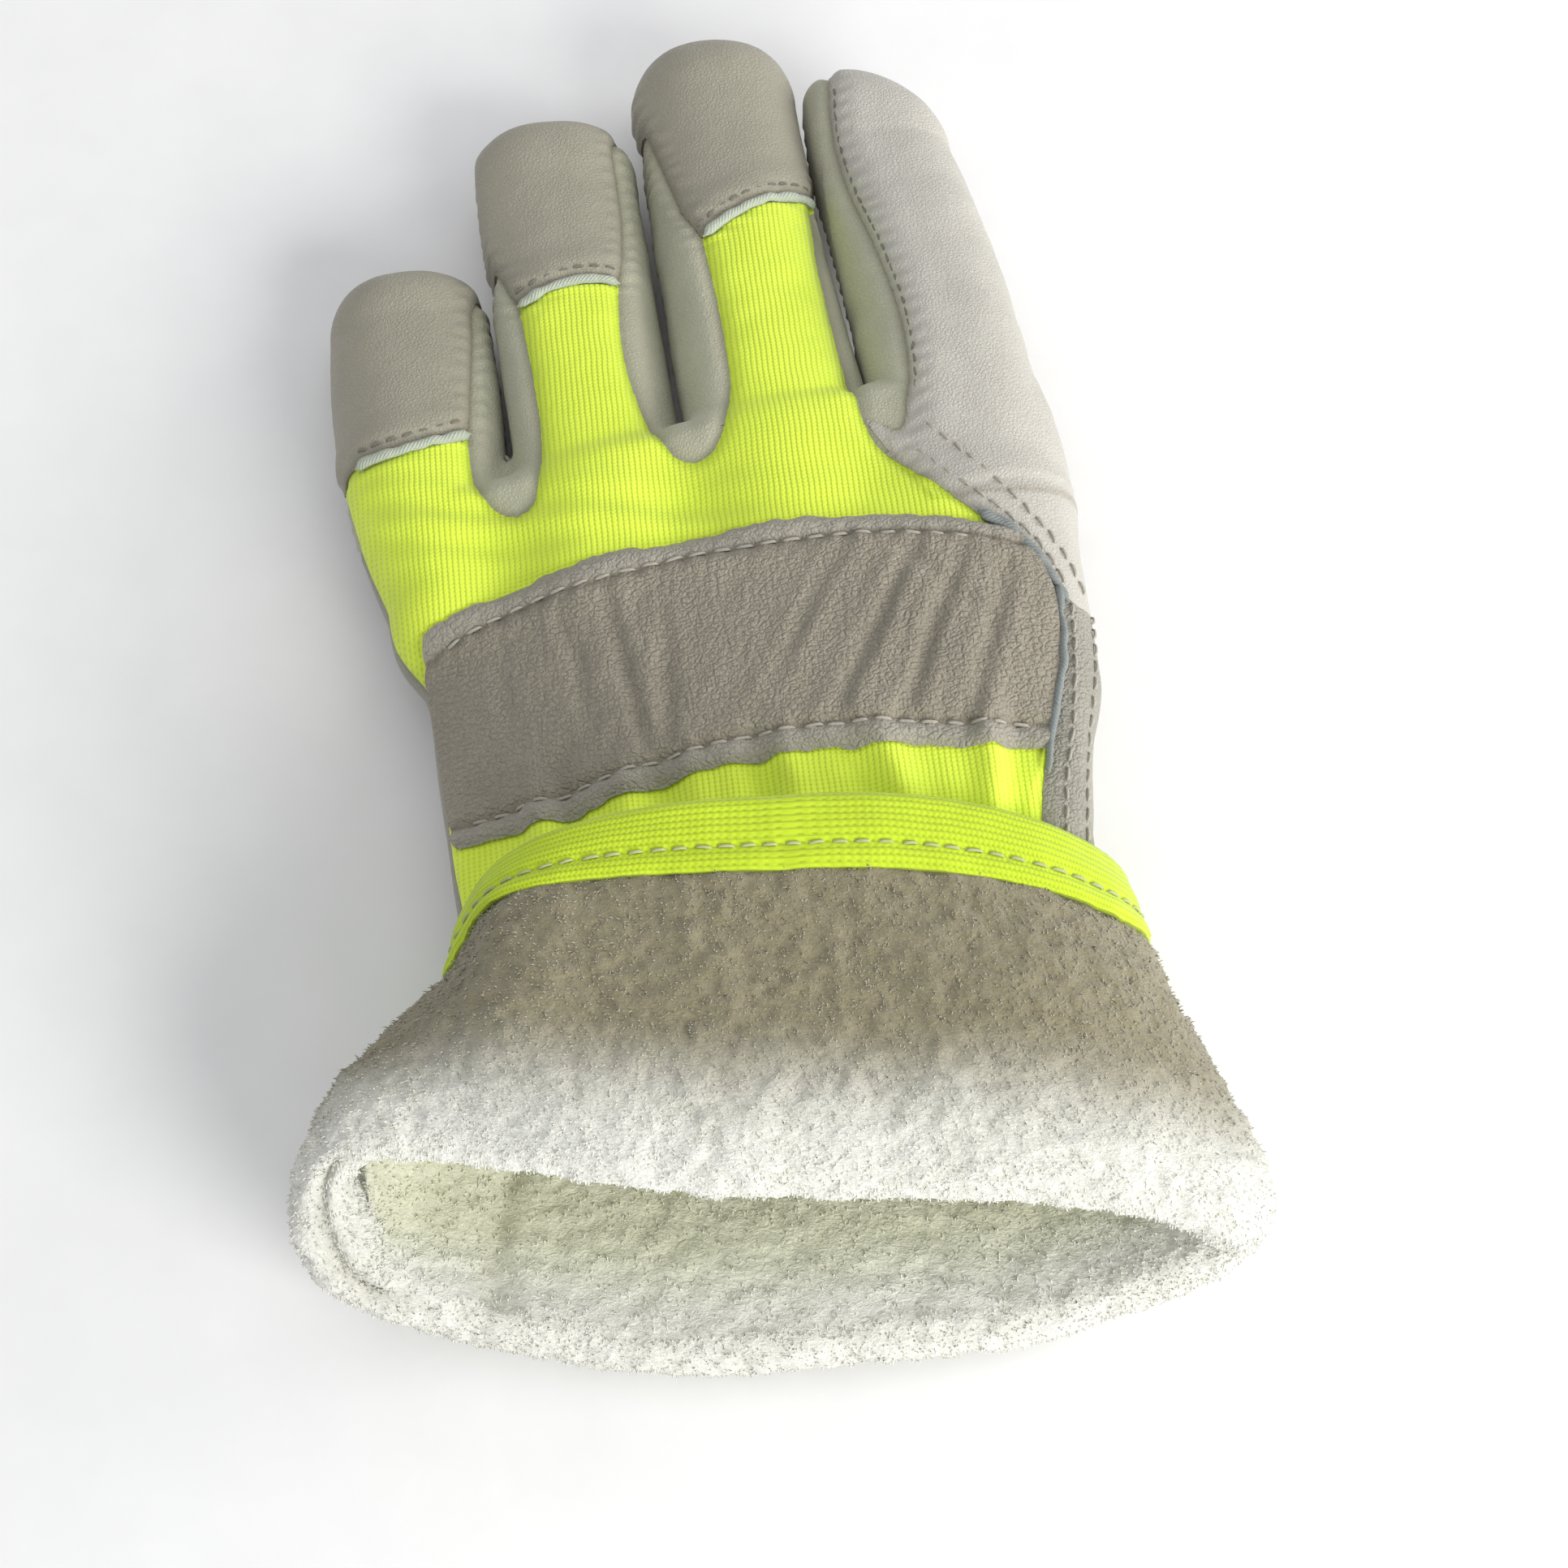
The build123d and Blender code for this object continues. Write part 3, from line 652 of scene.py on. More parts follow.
def fleece(name, colour, mouth_shade, shade, relief=0.8):
    """Pile: clumped fibres, paler at their tips, with painted shade in the hollows between the clumps. Point attributes
    mix in the shade colour as painted shade, and a yellow-green painted shade for deep inside the cuff.
    """
    m, tree, shader = new_material(name)
    n = Nodes(tree)
    weave = n.attribute("weave").outputs["Vector"]
    painted_shade = n.attribute("painted_shade").outputs["Fac"]
    clumps = n.noise(n.mapped(weave, (0.5, 0.6, 0.5)), 1.0, 3.0, 0.62, 0.6)
    fibres = n.noise(n.mapped(weave, (1.1, 2.3, 1.4)), 1.0, 4.0, 0.7, 1.0)
    patches = n.noise(weave, 0.05, 3.0, 0.6, 0.4)
    # Painted shade: the yellow-green colour deep inside the cuff, then the shade colour on the cuff's top, in its folds
    # and on the linings.
    base = n.blend(n.attribute("mouth_shade").outputs["Fac"], rgba(colour), rgba(mouth_shade))
    base = n.blend(n.math("MULTIPLY", painted_shade, 1.0, clamp=True), base, rgba(shade))
    # Painted shade in the hollows between the clumps.
    dark = n.blend(1.0, base, (0.86, 0.85, 0.82, 1.0), "MULTIPLY")
    pale = n.blend(1.0, base, (1.10, 1.11, 1.13, 1.0), "MULTIPLY")
    base = n.blend(n.stretch(clumps, 0.34, 0.62), dark, base)
    base = n.blend(n.stretch(patches, 0.35, 0.7, 0.0, 0.55), base, pale)
    base = n.blend(n.stretch(fibres, 0.45, 0.8, 0.0, 0.9), base, pale)
    tree.links.new(base, shader.inputs["Base Color"])
    shader.inputs["Roughness"].default_value = 0.95
    shader.inputs["Specular IOR Level"].default_value = 0.12
    shader.inputs["Sheen Weight"].default_value = 0.35
    shader.inputs["Sheen Roughness"].default_value = 0.6
    height = n.math("ADD", n.math("MULTIPLY", clumps, 1.6), n.math("MULTIPLY", fibres, 0.8))
    tree.links.new(n.bump(height, relief, 0.0007), shader.inputs["Normal"])
    return m


def plain_cloth(name, colour, pitch=0.6, rough=0.85, strength=0.5):
    """Thread, raw edges and tightly woven cloth, with a twill of the given pitch."""
    m, tree, shader = new_material(name)
    n = Nodes(tree)
    weave = n.attribute("weave").outputs["Vector"]
    painted_shade = n.attribute("painted_shade").outputs["Fac"]
    twill = n.add("ShaderNodeTexWave", {"Vector": n.mapped(weave, (1, 1, 1), (0, 0, 0.7)), "Scale": 0.5 / pitch, "Distortion": 1.2, "Detail": 2.0}).outputs[1]
    fine = n.noise(weave, 2.2, 4.0, 0.7)
    base = n.blend(n.stretch(fine, 0.3, 0.75), rgba(colour, 0.80), rgba(colour, 1.10))
    base = n.blend(n.math("MULTIPLY", twill, 0.22), base, rgba(colour, 0.6))
    # Painted shade from a point attribute, which is zero on every cloth, thread and edge mesh here.
    base = n.blend(n.math("MULTIPLY", painted_shade, 1.0, clamp=True), base, rgba(colour, 0.35))
    tree.links.new(base, shader.inputs["Base Color"])
    shader.inputs["Roughness"].default_value = rough
    shader.inputs["Specular IOR Level"].default_value = 0.25
    height = n.math("ADD", n.math("MULTIPLY", twill, 0.6), n.math("MULTIPLY", fine, 0.7))
    tree.links.new(n.bump(height, strength, 0.0002), shader.inputs["Normal"])
    return m


LEATHER_COLOUR = (0.368, 0.346, 0.266)
PALM = leather("palm_leather", (0.395, 0.375, 0.31), 1.0, 0.35, 0.0, 0.66)
GUSSET = leather("gusset_leather", (0.375, 0.358, 0.30), 1.2, 0.9, 0.2, 0.62)
# CAP and INDEX are one leather in two copies: the index copy is paler, painted light on the lit index side, and the cap
# copy darker, painted shade on the tops.
CAP = leather("cap_leather", LEATHER_COLOUR, 0.8)
INDEX = leather("index_leather", (0.56, 0.537, 0.475), 0.8)
# Side strips: a paler, yellow-green copy of the leather, painted light bounced from the knit.
SIDE = leather("side_strip_leather", (0.50, 0.495, 0.37), 0.8)
STRAP = leather("strap_leather", (0.350, 0.314, 0.242), 1.3, 1.2, 0.8, 0.55)
HEM = leather("strap_hem_leather", (0.385, 0.358, 0.295), 1.2, 0.9, 0.0, 0.7)
KNIT_CLOTH = knit("knit_back", (0.79, 0.98, 0.082), deep=0.45)
BINDING_CLOTH = knit("binding_knit", (0.58, 0.76, 0.036), wale=1.25, course=1.0, deep=0.55)
# In each fleece, the second colour is the yellow-green painted shade deep inside the cuff, and the third the painted
# shade on the cuff's top and folds.
FLEECE = fleece("fleece_pile", (0.88, 0.88, 0.80), (0.68, 0.69, 0.45), (0.295, 0.262, 0.158))
PILE = fleece("pile_locks", (0.89, 0.89, 0.81), (0.72, 0.73, 0.49), (0.36, 0.325, 0.225), 0.05)
SHELL_CLOTH = plain_cloth("cuff_cloth", (0.36, 0.36, 0.35), 0.7)
RAW_EDGE = plain_cloth("raw_leather_edge", (0.56, 0.61, 0.50), 0.9, 0.95, 0.9)
DARK_EDGE = plain_cloth("raw_leather_side", (0.30, 0.33, 0.32), 0.9, 0.95, 0.9)
THREAD = plain_cloth("sewing_thread", (0.50, 0.47, 0.40), 0.35)
DARK_THREAD = plain_cloth("seam_thread", (0.26, 0.24, 0.20), 0.35)
BINDING_THREAD = plain_cloth("binding_thread", (0.56, 0.60, 0.30), 0.35)
ELASTIC = plain_cloth("elastic_band", (0.78, 0.77, 0.74), 0.8)


# ==== the glove's skin ==============================================================================================
def rough_glove():
    """Closed tubes of about the right form, merged into one mesh of even squares."""
    def tube(rows, ends, bend=None):
        verts, faces, ring = [], [], 40
        first, last = rows[0][0], rows[-1][0]
        places = [(first, -a) for a in (84, 62, 38, 16)] + [(y, 0) for y in np.linspace(first, last, 24)] + [(last, a) for a in (16, 38, 62, 84)]
        for y, angle in places:
            values = along(rows, np.array([y]))[:, 0]
            x, z, wide, high = values[:4]
            tilt = math.radians(values[4]) if len(values) > 4 else 0.0
            c, s = math.cos(math.radians(angle)), math.sin(math.radians(angle))
            for k in range(ring):
                a = 2 * math.pi * k / ring
                u = wide / 2 * c * math.copysign(abs(math.cos(a)) ** 0.85, math.cos(a))
                v = high / 2 * c * math.copysign(abs(math.sin(a)) ** 0.85, math.sin(a))
                lean = (bend or 0.0) * max(s, 0) ** 2
                verts.append((x + lean + u * math.cos(tilt) - v * math.sin(tilt), y + ends * s, z + u * math.sin(tilt) + v * math.cos(tilt)))
        rows_of = len(places)
        for r in range(rows_of - 1):
            for k in range(ring):
                a, b = r * ring + k, r * ring + (k + 1) % ring
                faces.append((a, b, b + ring, a + ring))
        faces.append(tuple(range(ring))[::-1])
        faces.append(tuple(range((rows_of - 1) * ring, rows_of * ring)))
        return verts, faces

    verts, faces = [], []
    v, f = tube([r for r in HAND if r[0] < 60] + [(57, -9.0, 24.8, 127, 30, 8.0)], 5.0)
    v = np.array(v)
    v[:, 1] += (v[:, 0] + 49) * 0.12 * ramp(v[:, 1], 42, 57)
    parts = [([tuple(q) for q in v], f)]
    for i, name in enumerate(ORDER):
        v, f = tube(FINGERS[name]["rows"], FINGERS[name]["cap"], FINGERS[name]["lean"])
        v = np.array(v)
        room = np.where(v[:, 1] > 66, 1.6 * VOXEL, -20)
        v[:, 0] = np.maximum(v[:, 0], along(GAPS[i - 1], v[:, 1])[0] + room) if i > 0 else v[:, 0]
        v[:, 0] = np.minimum(v[:, 0], along(GAPS[i], v[:, 1])[0] - room) if i < 3 else v[:, 0]
        parts.append(([tuple(q) for q in v], f))
    for v, f in parts:
        base = len(verts)
        verts += v
        faces += [tuple(i + base for i in q) for q in f]
    mesh = bpy.data.meshes.new("rough")
    mesh.from_pydata(verts, [], faces)
    ob = bpy.data.objects.new("rough", mesh)
    bpy.context.scene.collection.objects.link(ob)
    change = ob.modifiers.new("merge", "REMESH")
    change.mode = "VOXEL"
    change.voxel_size = VOXEL
    tri = ob.modifiers.new("triangles", "TRIANGULATE")
    tri.min_vertices = 4
    graph = bpy.context.evaluated_depsgraph_get()
    done = bpy.data.meshes.new_from_object(ob.evaluated_get(graph))
    p = np.zeros(len(done.vertices) * 3)
    done.vertices.foreach_get("co", p)
    done.calc_loop_triangles()
    t = np.zeros(len(done.loop_triangles) * 3, np.int32)
    done.loop_triangles.foreach_get("vertices", t)
    bpy.data.objects.remove(ob)
    for m in (mesh, done):
        bpy.data.meshes.remove(m)
    return p.reshape(-1, 3), t.reshape(-1, 3).astype(np.int64)


points, tris = rough_glove()
points, normals = settle(points, glove_distance, 6)
whole = Skin(points, tris)

# Which finger a point is on, and where it is around that finger.
gap = [gap_side(i, points) for i in range(3)]
finger_index = sum((g > 0).astype(int) for g in gap)
across, up, half_wide, half_high = (np.zeros(len(points)) for _ in range(4))
for i, name in enumerate(ORDER):
    here = finger_index == i
    u, v, wide, high, _ = finger_uv(name, points[here])
    across[here], up[here], half_wide[here], half_high[here] = u, v, wide / 2, high / 2
hand_u, hand_v, hand_wide, _ = hand_uv(points)

knit_field = region(knit_outline, points)
on_finger = ramp(past_knuckles(points), -10, 10)
level = hand_v * (1 - on_finger) + up * on_finger
side_level = 4.5 - 4.5 * ramp(points[:, 1], 34, 66) + 0.5 * np.sin(points[:, 1] * 0.16)
knit_field = np.minimum(knit_field, level + 1 - (side_level + 1) * ramp(points[:, 0], -46, -57))
front_field = up + 0.42 * half_high + 1.2 * np.sin(points[:, 1] * 0.11)
index_field = region(np.vstack([curve(INDEX_SEAM, 2.0), [(75, 166), (75, 40), (30, 40)]]), points)
cap_fields = {name: region(cap_outline(name), points) for name in CAP_SEAM}
cap_any = np.max([np.where(finger_index == i, cap_fields[n], -99) for i, n in enumerate(("little", "ring", "middle"))], axis=0)
yoke_field = region([(20, 62), *curve(YOKE_EDGE, 2.0), (52.5, 17.0), (80, 17.0), (80, 90), (20, 90)], points)

detail = body_detail(points)
on_index = (finger_index == 3)
detail += np.where(points[:, 0] > 22, index_creases(points), 0) * ramp(points[:, 1], 28, 36)
groove = np.zeros(len(points))
upper = up > -0.35 * half_high
fingers_here = ramp(past_knuckles(points), -6, 4)
seam_knit = bump(knit_field, 1.5) * (hand_v > -2)
seam_front = bump(front_field, 1.3) * fingers_here * (np.abs(up) < half_high)
seam_index = bump(index_field, 1.3) * on_index * upper * fingers_here
seam_cap = bump(cap_any, 1.2) * upper * (cap_any < 6) * fingers_here * (np.abs(knit_field) > 1.5)
groove = np.maximum.reduce([seam_knit * 0.9, seam_front, seam_index * 1.1, seam_cap * 1.0])
swell = np.maximum.reduce([bump(knit_field + 4.0, 3.2) * (hand_v > -2) * fingers_here, bump(front_field - 4, 3.5) * fingers_here * 0.6, bump(index_field - 4.5, 3.5) * on_index * upper * 0.9])
pucker = 0.28 * np.sin(points[:, 1] * 2 * math.pi / 3.6 + 2.0 * noise(points, 9, 3)) * np.maximum.reduce(
    [bump(index_field - 2.2, 1.6) * on_index * upper, bump(front_field - 2.0, 1.6) * fingers_here, bump(np.abs(cap_any) - 2.0, 1.4) * upper * fingers_here]
)
points = points + normals * (detail - 1.0 * groove + 0.55 * swell + pucker)[:, None]
whole.p = points
shading = whole.normals()
to_finger = ramp(past_knuckles(points), -22, 0)
# Painted shade: darker along the seam grooves of the knit panel, the index, the finger fronts and the caps, carried to
# the materials as a point attribute.
dark = np.clip(0.75 * bump(knit_field, 0.8) * (hand_v > -2) + 0.8 * bump(index_field, 0.6) * on_index * upper + 0.6 * seam_front * 0.6 + 0.75 * bump(cap_any, 0.6) * upper * fingers_here, 0, 0.9)
whole.values = dict(
    normal=shading, pattern=np.column_stack([points[:, 0], points[:, 1], points[:, 2]]), painted_shade=dark,
    knit=knit_field, front=front_field, index=index_field, knuckle=past_knuckles(points),
    gap0=gap[0], gap1=gap[1], gap2=gap[2], cap=cap_any, yoke=yoke_field, back=(hand_v + 1.5) * (1 - to_finger) + front_field * to_finger, u=hand_u, up=up, high=half_high,
)


def cut(skin, field, snap=0.12):
    return skin.split(skin.values[field], snap)


fingers_skin, hand_skin = cut(whole, "knuckle")
hand_skin, _ = hand_skin.split(hand_skin.p[:, 1] + 38.0)
made = {}


def blended(ob):
    """Keeps a finger piece by name, with its transform baked into its points."""
    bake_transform(ob)
    made[ob.name] = ob
    return ob


def on_hand(ob):
    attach(ob, "hand")
    made[ob.name] = ob
    return ob


# ---- hand panels
knit_skin, rest = cut(hand_skin, "knit")
back_side, palm_side = cut(rest, "back")
right_part = back_side.values["u"] > 10
yoke_plus, others = cut(back_side, "yoke")
right_skin, left_skin = others.split(others.values["u"] - 20)
web_skin, strip_skin = left_skin.split(left_skin.p[:, 1] - 49.0 - 22 * ramp(left_skin.p[:, 0], -50, -58))
palm_all = [palm_side]
on_hand(panel("back_panel_knit", largest(knit_skin), KNIT_CLOTH))
yoke_plus, root_skin = yoke_plus.split(np.where(yoke_plus.p[:, 1] > 52, yoke_plus.values["index"], 5.0))
on_hand(panel("index_yoke_leather", largest(yoke_plus), INDEX, 0.25))
on_hand(panel("index_strip_root", largest(root_skin, 10), SIDE))
on_hand(panel("thumb_gusset_leather", largest(right_skin), GUSSET, 0.2))
on_hand(panel("palm_leather_panel", largest(palm_side), PALM))
on_hand(panel("side_strip_leather", largest(strip_skin, 20), PALM))
on_hand(panel("finger_webs_leather", largest(web_skin, 10), SIDE))

# ---- finger panels
rest = fingers_skin
parts = {}
for i, name in enumerate(ORDER[:3]):
    rest, parts[name] = cut(rest, f"gap{i}")
parts["index"] = rest
for name in ORDER:
    skin = largest(parts[name])
    above, front = cut(skin, "front")
    if name == "index":
        back, side = cut(above, "index")
        blended(panel("index_back_leather", largest(back), INDEX, 0.25))
        blended(panel("index_side_strip", largest(side), SIDE))
        blended(panel("index_front_leather", largest(front), PALM))
        continue
    cap, below = cut(above, "cap")
    stall, sides = cut(below, "knit")
    blended(panel(f"{name}_cap_leather", largest(cap), CAP, 0.45))
    blended(panel(f"{name}_stall_knit", largest(stall), KNIT_CLOTH))
    blended(panel(f"{name}_side_strips", largest(sides, 20), SIDE))
    blended(panel(f"{name}_front_leather", largest(front), PALM))

# ---- linings: the same skin, further in
def lining():
    p, t = rough_glove()
    p, n = settle(p, glove_distance, 5)
    deep = (3.4 + 3.6 * ramp(p[:, 1], 14, -4))[:, None]
    # The linings are painted half-way to the fleece's shade colour: painted shade inside the glove.
    skin = Skin(p - n * deep, t[:, ::-1], normal=-n, pattern=p, painted_shade=np.full(len(p), 0.5), knuckle=past_knuckles(p), y=p[:, 1])
    for i in range(3):
        skin.values[f"gap{i}"] = gap_side(i, p)
    return skin


lining_skin = lining()
finger_part, hand_part = cut(lining_skin, "knuckle")
hand_part, _ = hand_part.split(hand_part.values["y"] + 30.0)
on_hand(panel("hand_lining_fleece", largest(hand_part), FLEECE, thick=-1.2))
rest = finger_part
for i, name in enumerate(ORDER):
    if i < 3:
        rest, piece = cut(rest, f"gap{i}")
    else:
        piece = rest
    blended(panel(f"{name}_lining_fleece", largest(piece), FLEECE, thick=-1.2))


# ==== things laid on the skin =======================================================================================
def laid(plan, level=0.0, extra=None):
    """Points of the plan on the finished top surface, with their normals."""
    p, n = on_top(plan, glove_distance)
    lift = body_detail(p) + np.where(p[:, 0] > 22, index_creases(p), 0) * ramp(p[:, 1], 28, 36) + level
    if extra is not None:
        lift = lift + extra(p)
    return p + n * lift[:, None], n


def tube_mesh(paths, radii, sides=6):
    """Tubes along paths; each path is (points, normals) and its radii are (across, out) at each point."""
    verts, faces, weave = [], [], []
    for (p, n), r in zip(paths, radii):
        t = np.gradient(p, axis=0)
        t /= np.maximum(np.linalg.norm(t, axis=1), 1e-9)[:, None]
        side = np.cross(t, n)
        side /= np.maximum(np.linalg.norm(side, axis=1), 1e-9)[:, None]
        out = np.cross(side, t)
        base = len(verts)
        run = np.r_[0, np.cumsum(np.linalg.norm(np.diff(p, axis=0), axis=1))]
        for k in range(len(p)):
            for j in range(sides):
                a = 2 * math.pi * j / sides
                verts.append(p[k] + side[k] * r[k][0] * math.cos(a) + out[k] * r[k][1] * math.sin(a))
                weave.append((run[k], a * r[k][0], base))
        for k in range(len(p) - 1):
            for j in range(sides):
                a, b = base + k * sides + j, base + k * sides + (j + 1) % sides
                faces.append((a, b, b + sides, a + sides))
        faces.append(tuple(base + j for j in range(sides))[::-1])
        last = base + (len(p) - 1) * sides
        faces.append(tuple(last + j for j in range(sides)))
    return np.array(verts), faces, np.array(weave)


def outward_faces(ob):
    bm = bmesh.new()
    bm.from_mesh(ob.data)
    bmesh.ops.recalc_face_normals(bm, faces=bm.faces)
    bm.to_mesh(ob.data)
    bm.free()
    return ob


def stitches(name, p, n, pitch, length, radius, material, arch=0.30, sink=0.22):
    """A row of sewn stitches along a line on a surface."""
    run = np.r_[0, np.cumsum(np.linalg.norm(np.diff(p, axis=0), axis=1))]
    count = max(1, int(run[-1] // pitch))
    pitch = run[-1] / count
    paths, radii = [], []
    for k in range(count):
        middle = (k + 0.5) * pitch + rng.normal(0, 0.03) * pitch
        half = length / 2 * (1 + rng.normal(0, 0.05))
        s = np.linspace(middle - half, middle + half, 7)
        q = np.stack([np.interp(s, run, p[:, i]) for i in range(3)], 1)
        m = np.stack([np.interp(s, run, n[:, i]) for i in range(3)], 1)
        m /= np.linalg.norm(m, axis=1)[:, None]
        f = np.linspace(-1, 1, 7)
        rise = arch * (1 - f ** 4) - sink * f ** 4
        side = np.cross(np.gradient(q, axis=0), m)
        side /= np.maximum(np.linalg.norm(side, axis=1), 1e-9)[:, None]
        q = q + m * rise[:, None] + side * (0.10 * rng.normal() * f)[:, None]
        paths.append((q, m))
        radii.append([(radius * (1 - 0.45 * abs(x) ** 5), radius * 0.85 * (1 - 0.45 * abs(x) ** 5)) for x in f])
    v, faces, weave = tube_mesh(paths, radii)
    return outward_faces(make_mesh(name, v, faces, None, material, weave, np.zeros(len(v))))


def raw_edge(name, p, n, wide, high, material, seed=0, rough=0.25, step=0.45):
    """A cut edge along a line: a flattened, slightly ragged strip."""
    run = np.r_[0, np.cumsum(np.linalg.norm(np.diff(p, axis=0), axis=1))]
    s = np.linspace(0, run[-1], max(8, int(run[-1] / step)))
    q = np.stack([np.interp(s, run, p[:, i]) for i in range(3)], 1)
    m = np.stack([np.interp(s, run, n[:, i]) for i in range(3)], 1)
    m /= np.linalg.norm(m, axis=1)[:, None]
    w = 1 + rough * layered(np.column_stack([s, s * 0, s * 0 + seed]), 2.2, seed, 2)
    side = np.cross(np.gradient(q, axis=0), m)
    side /= np.maximum(np.linalg.norm(side, axis=1), 1e-9)[:, None]
    q = q + side * (0.28 * noise(np.column_stack([s, s * 0, s * 0]), 3.1, seed + 9))[:, None]
    q = q + m * (0.18 * noise(np.column_stack([s, s * 0, s * 0]), 2.3, seed + 19))[:, None]
    taper = np.clip(np.minimum(s, run[-1] - s) / 1.2, 0.25, 1)
    radii = [(wide * a * b, high * a * b) for a, b in zip(w, taper)]
    v, faces, weave = tube_mesh([(q, m)], [radii], sides=10)
    return outward_faces(make_mesh(name, v, faces, None, material, weave, np.zeros(len(v))))


def aside(plan, by):
    """A plan line moved to its left by a distance."""
    t = np.gradient(plan, axis=0)
    t /= np.linalg.norm(t, axis=1)[:, None]
    return plan + np.column_stack([-t[:, 1], t[:, 0]]) * by


# ---- knuckle strap
STRAP_FRONT = [(-61.2, 31.0), (-54.3, 33.6), (-41.9, 36.6), (-27.2, 38.2), (-12.7, 39.4), (1.6, 39.3), (15.7, 38.2), (26.8, 36.2), (36.0, 34.0), (43.4, 31.4)]
STRAP_REAR = [(-57.6, -10.9), (-46.8, -10.5), (-38.2, -9.8), (-26.9, -7.8), (-15.7, -6.2), (-1.8, -5.3), (14.6, -6.3), (30.8, -8.7), (43.6, -9.8)]
STRAP_LEFT = [(-57.6, -10.9), (-58.6, 0.1), (-59.7, 11.9), (-60.6, 21.9), (-61.2, 31.0)]
STRAP_RIGHT = [(43.6, -9.8), (46.2, 0.1), (48.0, 10.8), (48.0, 20.0), (46.2, 26.0), (43.4, 31.4)]
CREASES = [
    ((-36, 30), (-33, 6), 1.5, 0.45), ((-29, 33), (-24, 0), 1.3, 0.60), ((-19, 26), (-20, -3), 1.6, 0.35),
    ((14, 33), (-2, 8), 1.8, 0.35), ((26, 31), (8, 0), 1.4, 0.50), ((34, 28), (20, -2), 1.5, 0.55),
    ((41, 24), (30, -6), 1.6, 0.50), ((-48, 26), (-46, 8), 2.0, 0.25), ((20, 34), (38, 12), 1.5, 0.30),
]


def strap_creases(p):
    d = 0.20 * layered(p @ np.array([[0.85, 0.5, 0], [-0.5, 0.85, 0], [0, 0, 1.0]]), (5.5, 19, 8), 41, 3)
    for (ax, ay), (bx, by), width, deep in CREASES:
        ex, ey = bx - ax, by - ay
        t = np.clip(((p[:, 0] - ax) * ex + (p[:, 1] - ay) * ey) / (ex * ex + ey * ey), 0, 1)
        wander = 0.8 * noise(p, 9, 43)
        away = np.hypot(p[:, 0] + wander - ax - t * ex, p[:, 1] - ay - t * ey)
        d -= 1.35 * deep * bump(away, width) * np.sin(np.clip(t, 0.04, 0.96) * math.pi) ** 0.5
        d += 0.5 * deep * bump(away - 2.6, 1.6)
    return d


def strap_skin():
    step = 0.55
    front, rear = curve(STRAP_FRONT, 0.5), curve(STRAP_REAR, 0.5)
    left, right = curve(STRAP_LEFT, 0.5), curve(STRAP_RIGHT, 0.5)
    nu, nv = int(112 / step), int(44 / step)
    a, b = np.linspace(0, 1, nu), np.linspace(0, 1, nv)

    def at(line, t):
        run = np.linspace(0, 1, len(line))
        return np.stack([np.interp(t, run, line[:, i]) for i in range(2)], -1)

    f, r, lft, rgt = at(front, a), at(rear, a), at(left, b), at(right, b)
    A, B = np.meshgrid(a, b, indexing="ij")
    plan = (
        r[:, None] * (1 - B)[..., None] + f[:, None] * B[..., None] + lft[None] * (1 - A)[..., None] + rgt[None] * A[..., None]
        - (r[0] * ((1 - A) * (1 - B))[..., None] + f[0] * ((1 - A) * B)[..., None] + r[-1] * (A * (1 - B))[..., None] + f[-1] * (A * B)[..., None])
    ).reshape(-1, 2)
    edge = np.minimum.reduce([(1 - B) * 43, B * 43, A * 200 + 2.0, (1 - A) * 112 + 1.2]).ravel()
    hem = np.minimum((1 - B) * 43, B * 43).ravel()
    ragged = 0.35 * layered(np.column_stack([plan * 1.0, plan[:, 0] * 0]), 2.6, 77, 2) * np.exp(-hem / 0.8)
    plan = plan + np.column_stack([ragged * 0, ragged * np.where(B.ravel() > 0.5, 1, -1)])
    p, n = laid(plan, 1.35, strap_creases)
    shape = -0.55 * bump(hem - 4.2, 0.75) + 0.30 * bump(hem - 2.2, 1.5) + 0.35 * bump(hem - 6.4, 2.0) - 0.8 * bump(edge, 0.7)
    bites = 0.22 * np.cos(plan[:, 0] * 2 * math.pi / 4.1) * bump(hem - 4.2, 1.5)
    p = p + n * (shape + bites)[:, None]
    index = np.arange(nu * nv).reshape(nu, nv)
    q = np.stack([index[:-1, :-1], index[1:, :-1], index[1:, 1:], index[:-1, 1:]], -1).reshape(-1, 4)
    t = np.concatenate([q[:, [0, 1, 2]], q[:, [0, 2, 3]]])
    skin = Skin(p, t)
    # Painted shade in the groove along each hem's stitch line.
    skin.values = dict(normal=skin.normals(), pattern=np.column_stack([plan, p[:, 2] * 0.4]), painted_shade=0.55 * bump(hem - 4.2, 0.5), hem=hem)
    return skin


strap = strap_skin()
middle_part, hem_part = strap.split(strap.values["hem"] - 3.9)
on_hand(panel("knuckle_strap_leather", middle_part, STRAP, thick=2.2))
hem_front, hem_rear = hem_part.split(hem_part.p[:, 1] - (14.0 + 0 * hem_part.p[:, 1]))
on_hand(panel("strap_hem_front", hem_front, HEM, thick=2.2))
on_hand(panel("strap_hem_rear", hem_rear, HEM, thick=2.2))

for name, line, shift in (("strap_front_stitches", STRAP_FRONT, -4.1), ("strap_rear_stitches", STRAP_REAR, 4.1)):
    plan = aside(curve(line, 0.8), shift)[3:-3]
    p, n = laid(plan, 1.35 - 0.30, strap_creases)
    on_hand(stitches(name, p, n, 4.1, 3.1, 0.33, THREAD))

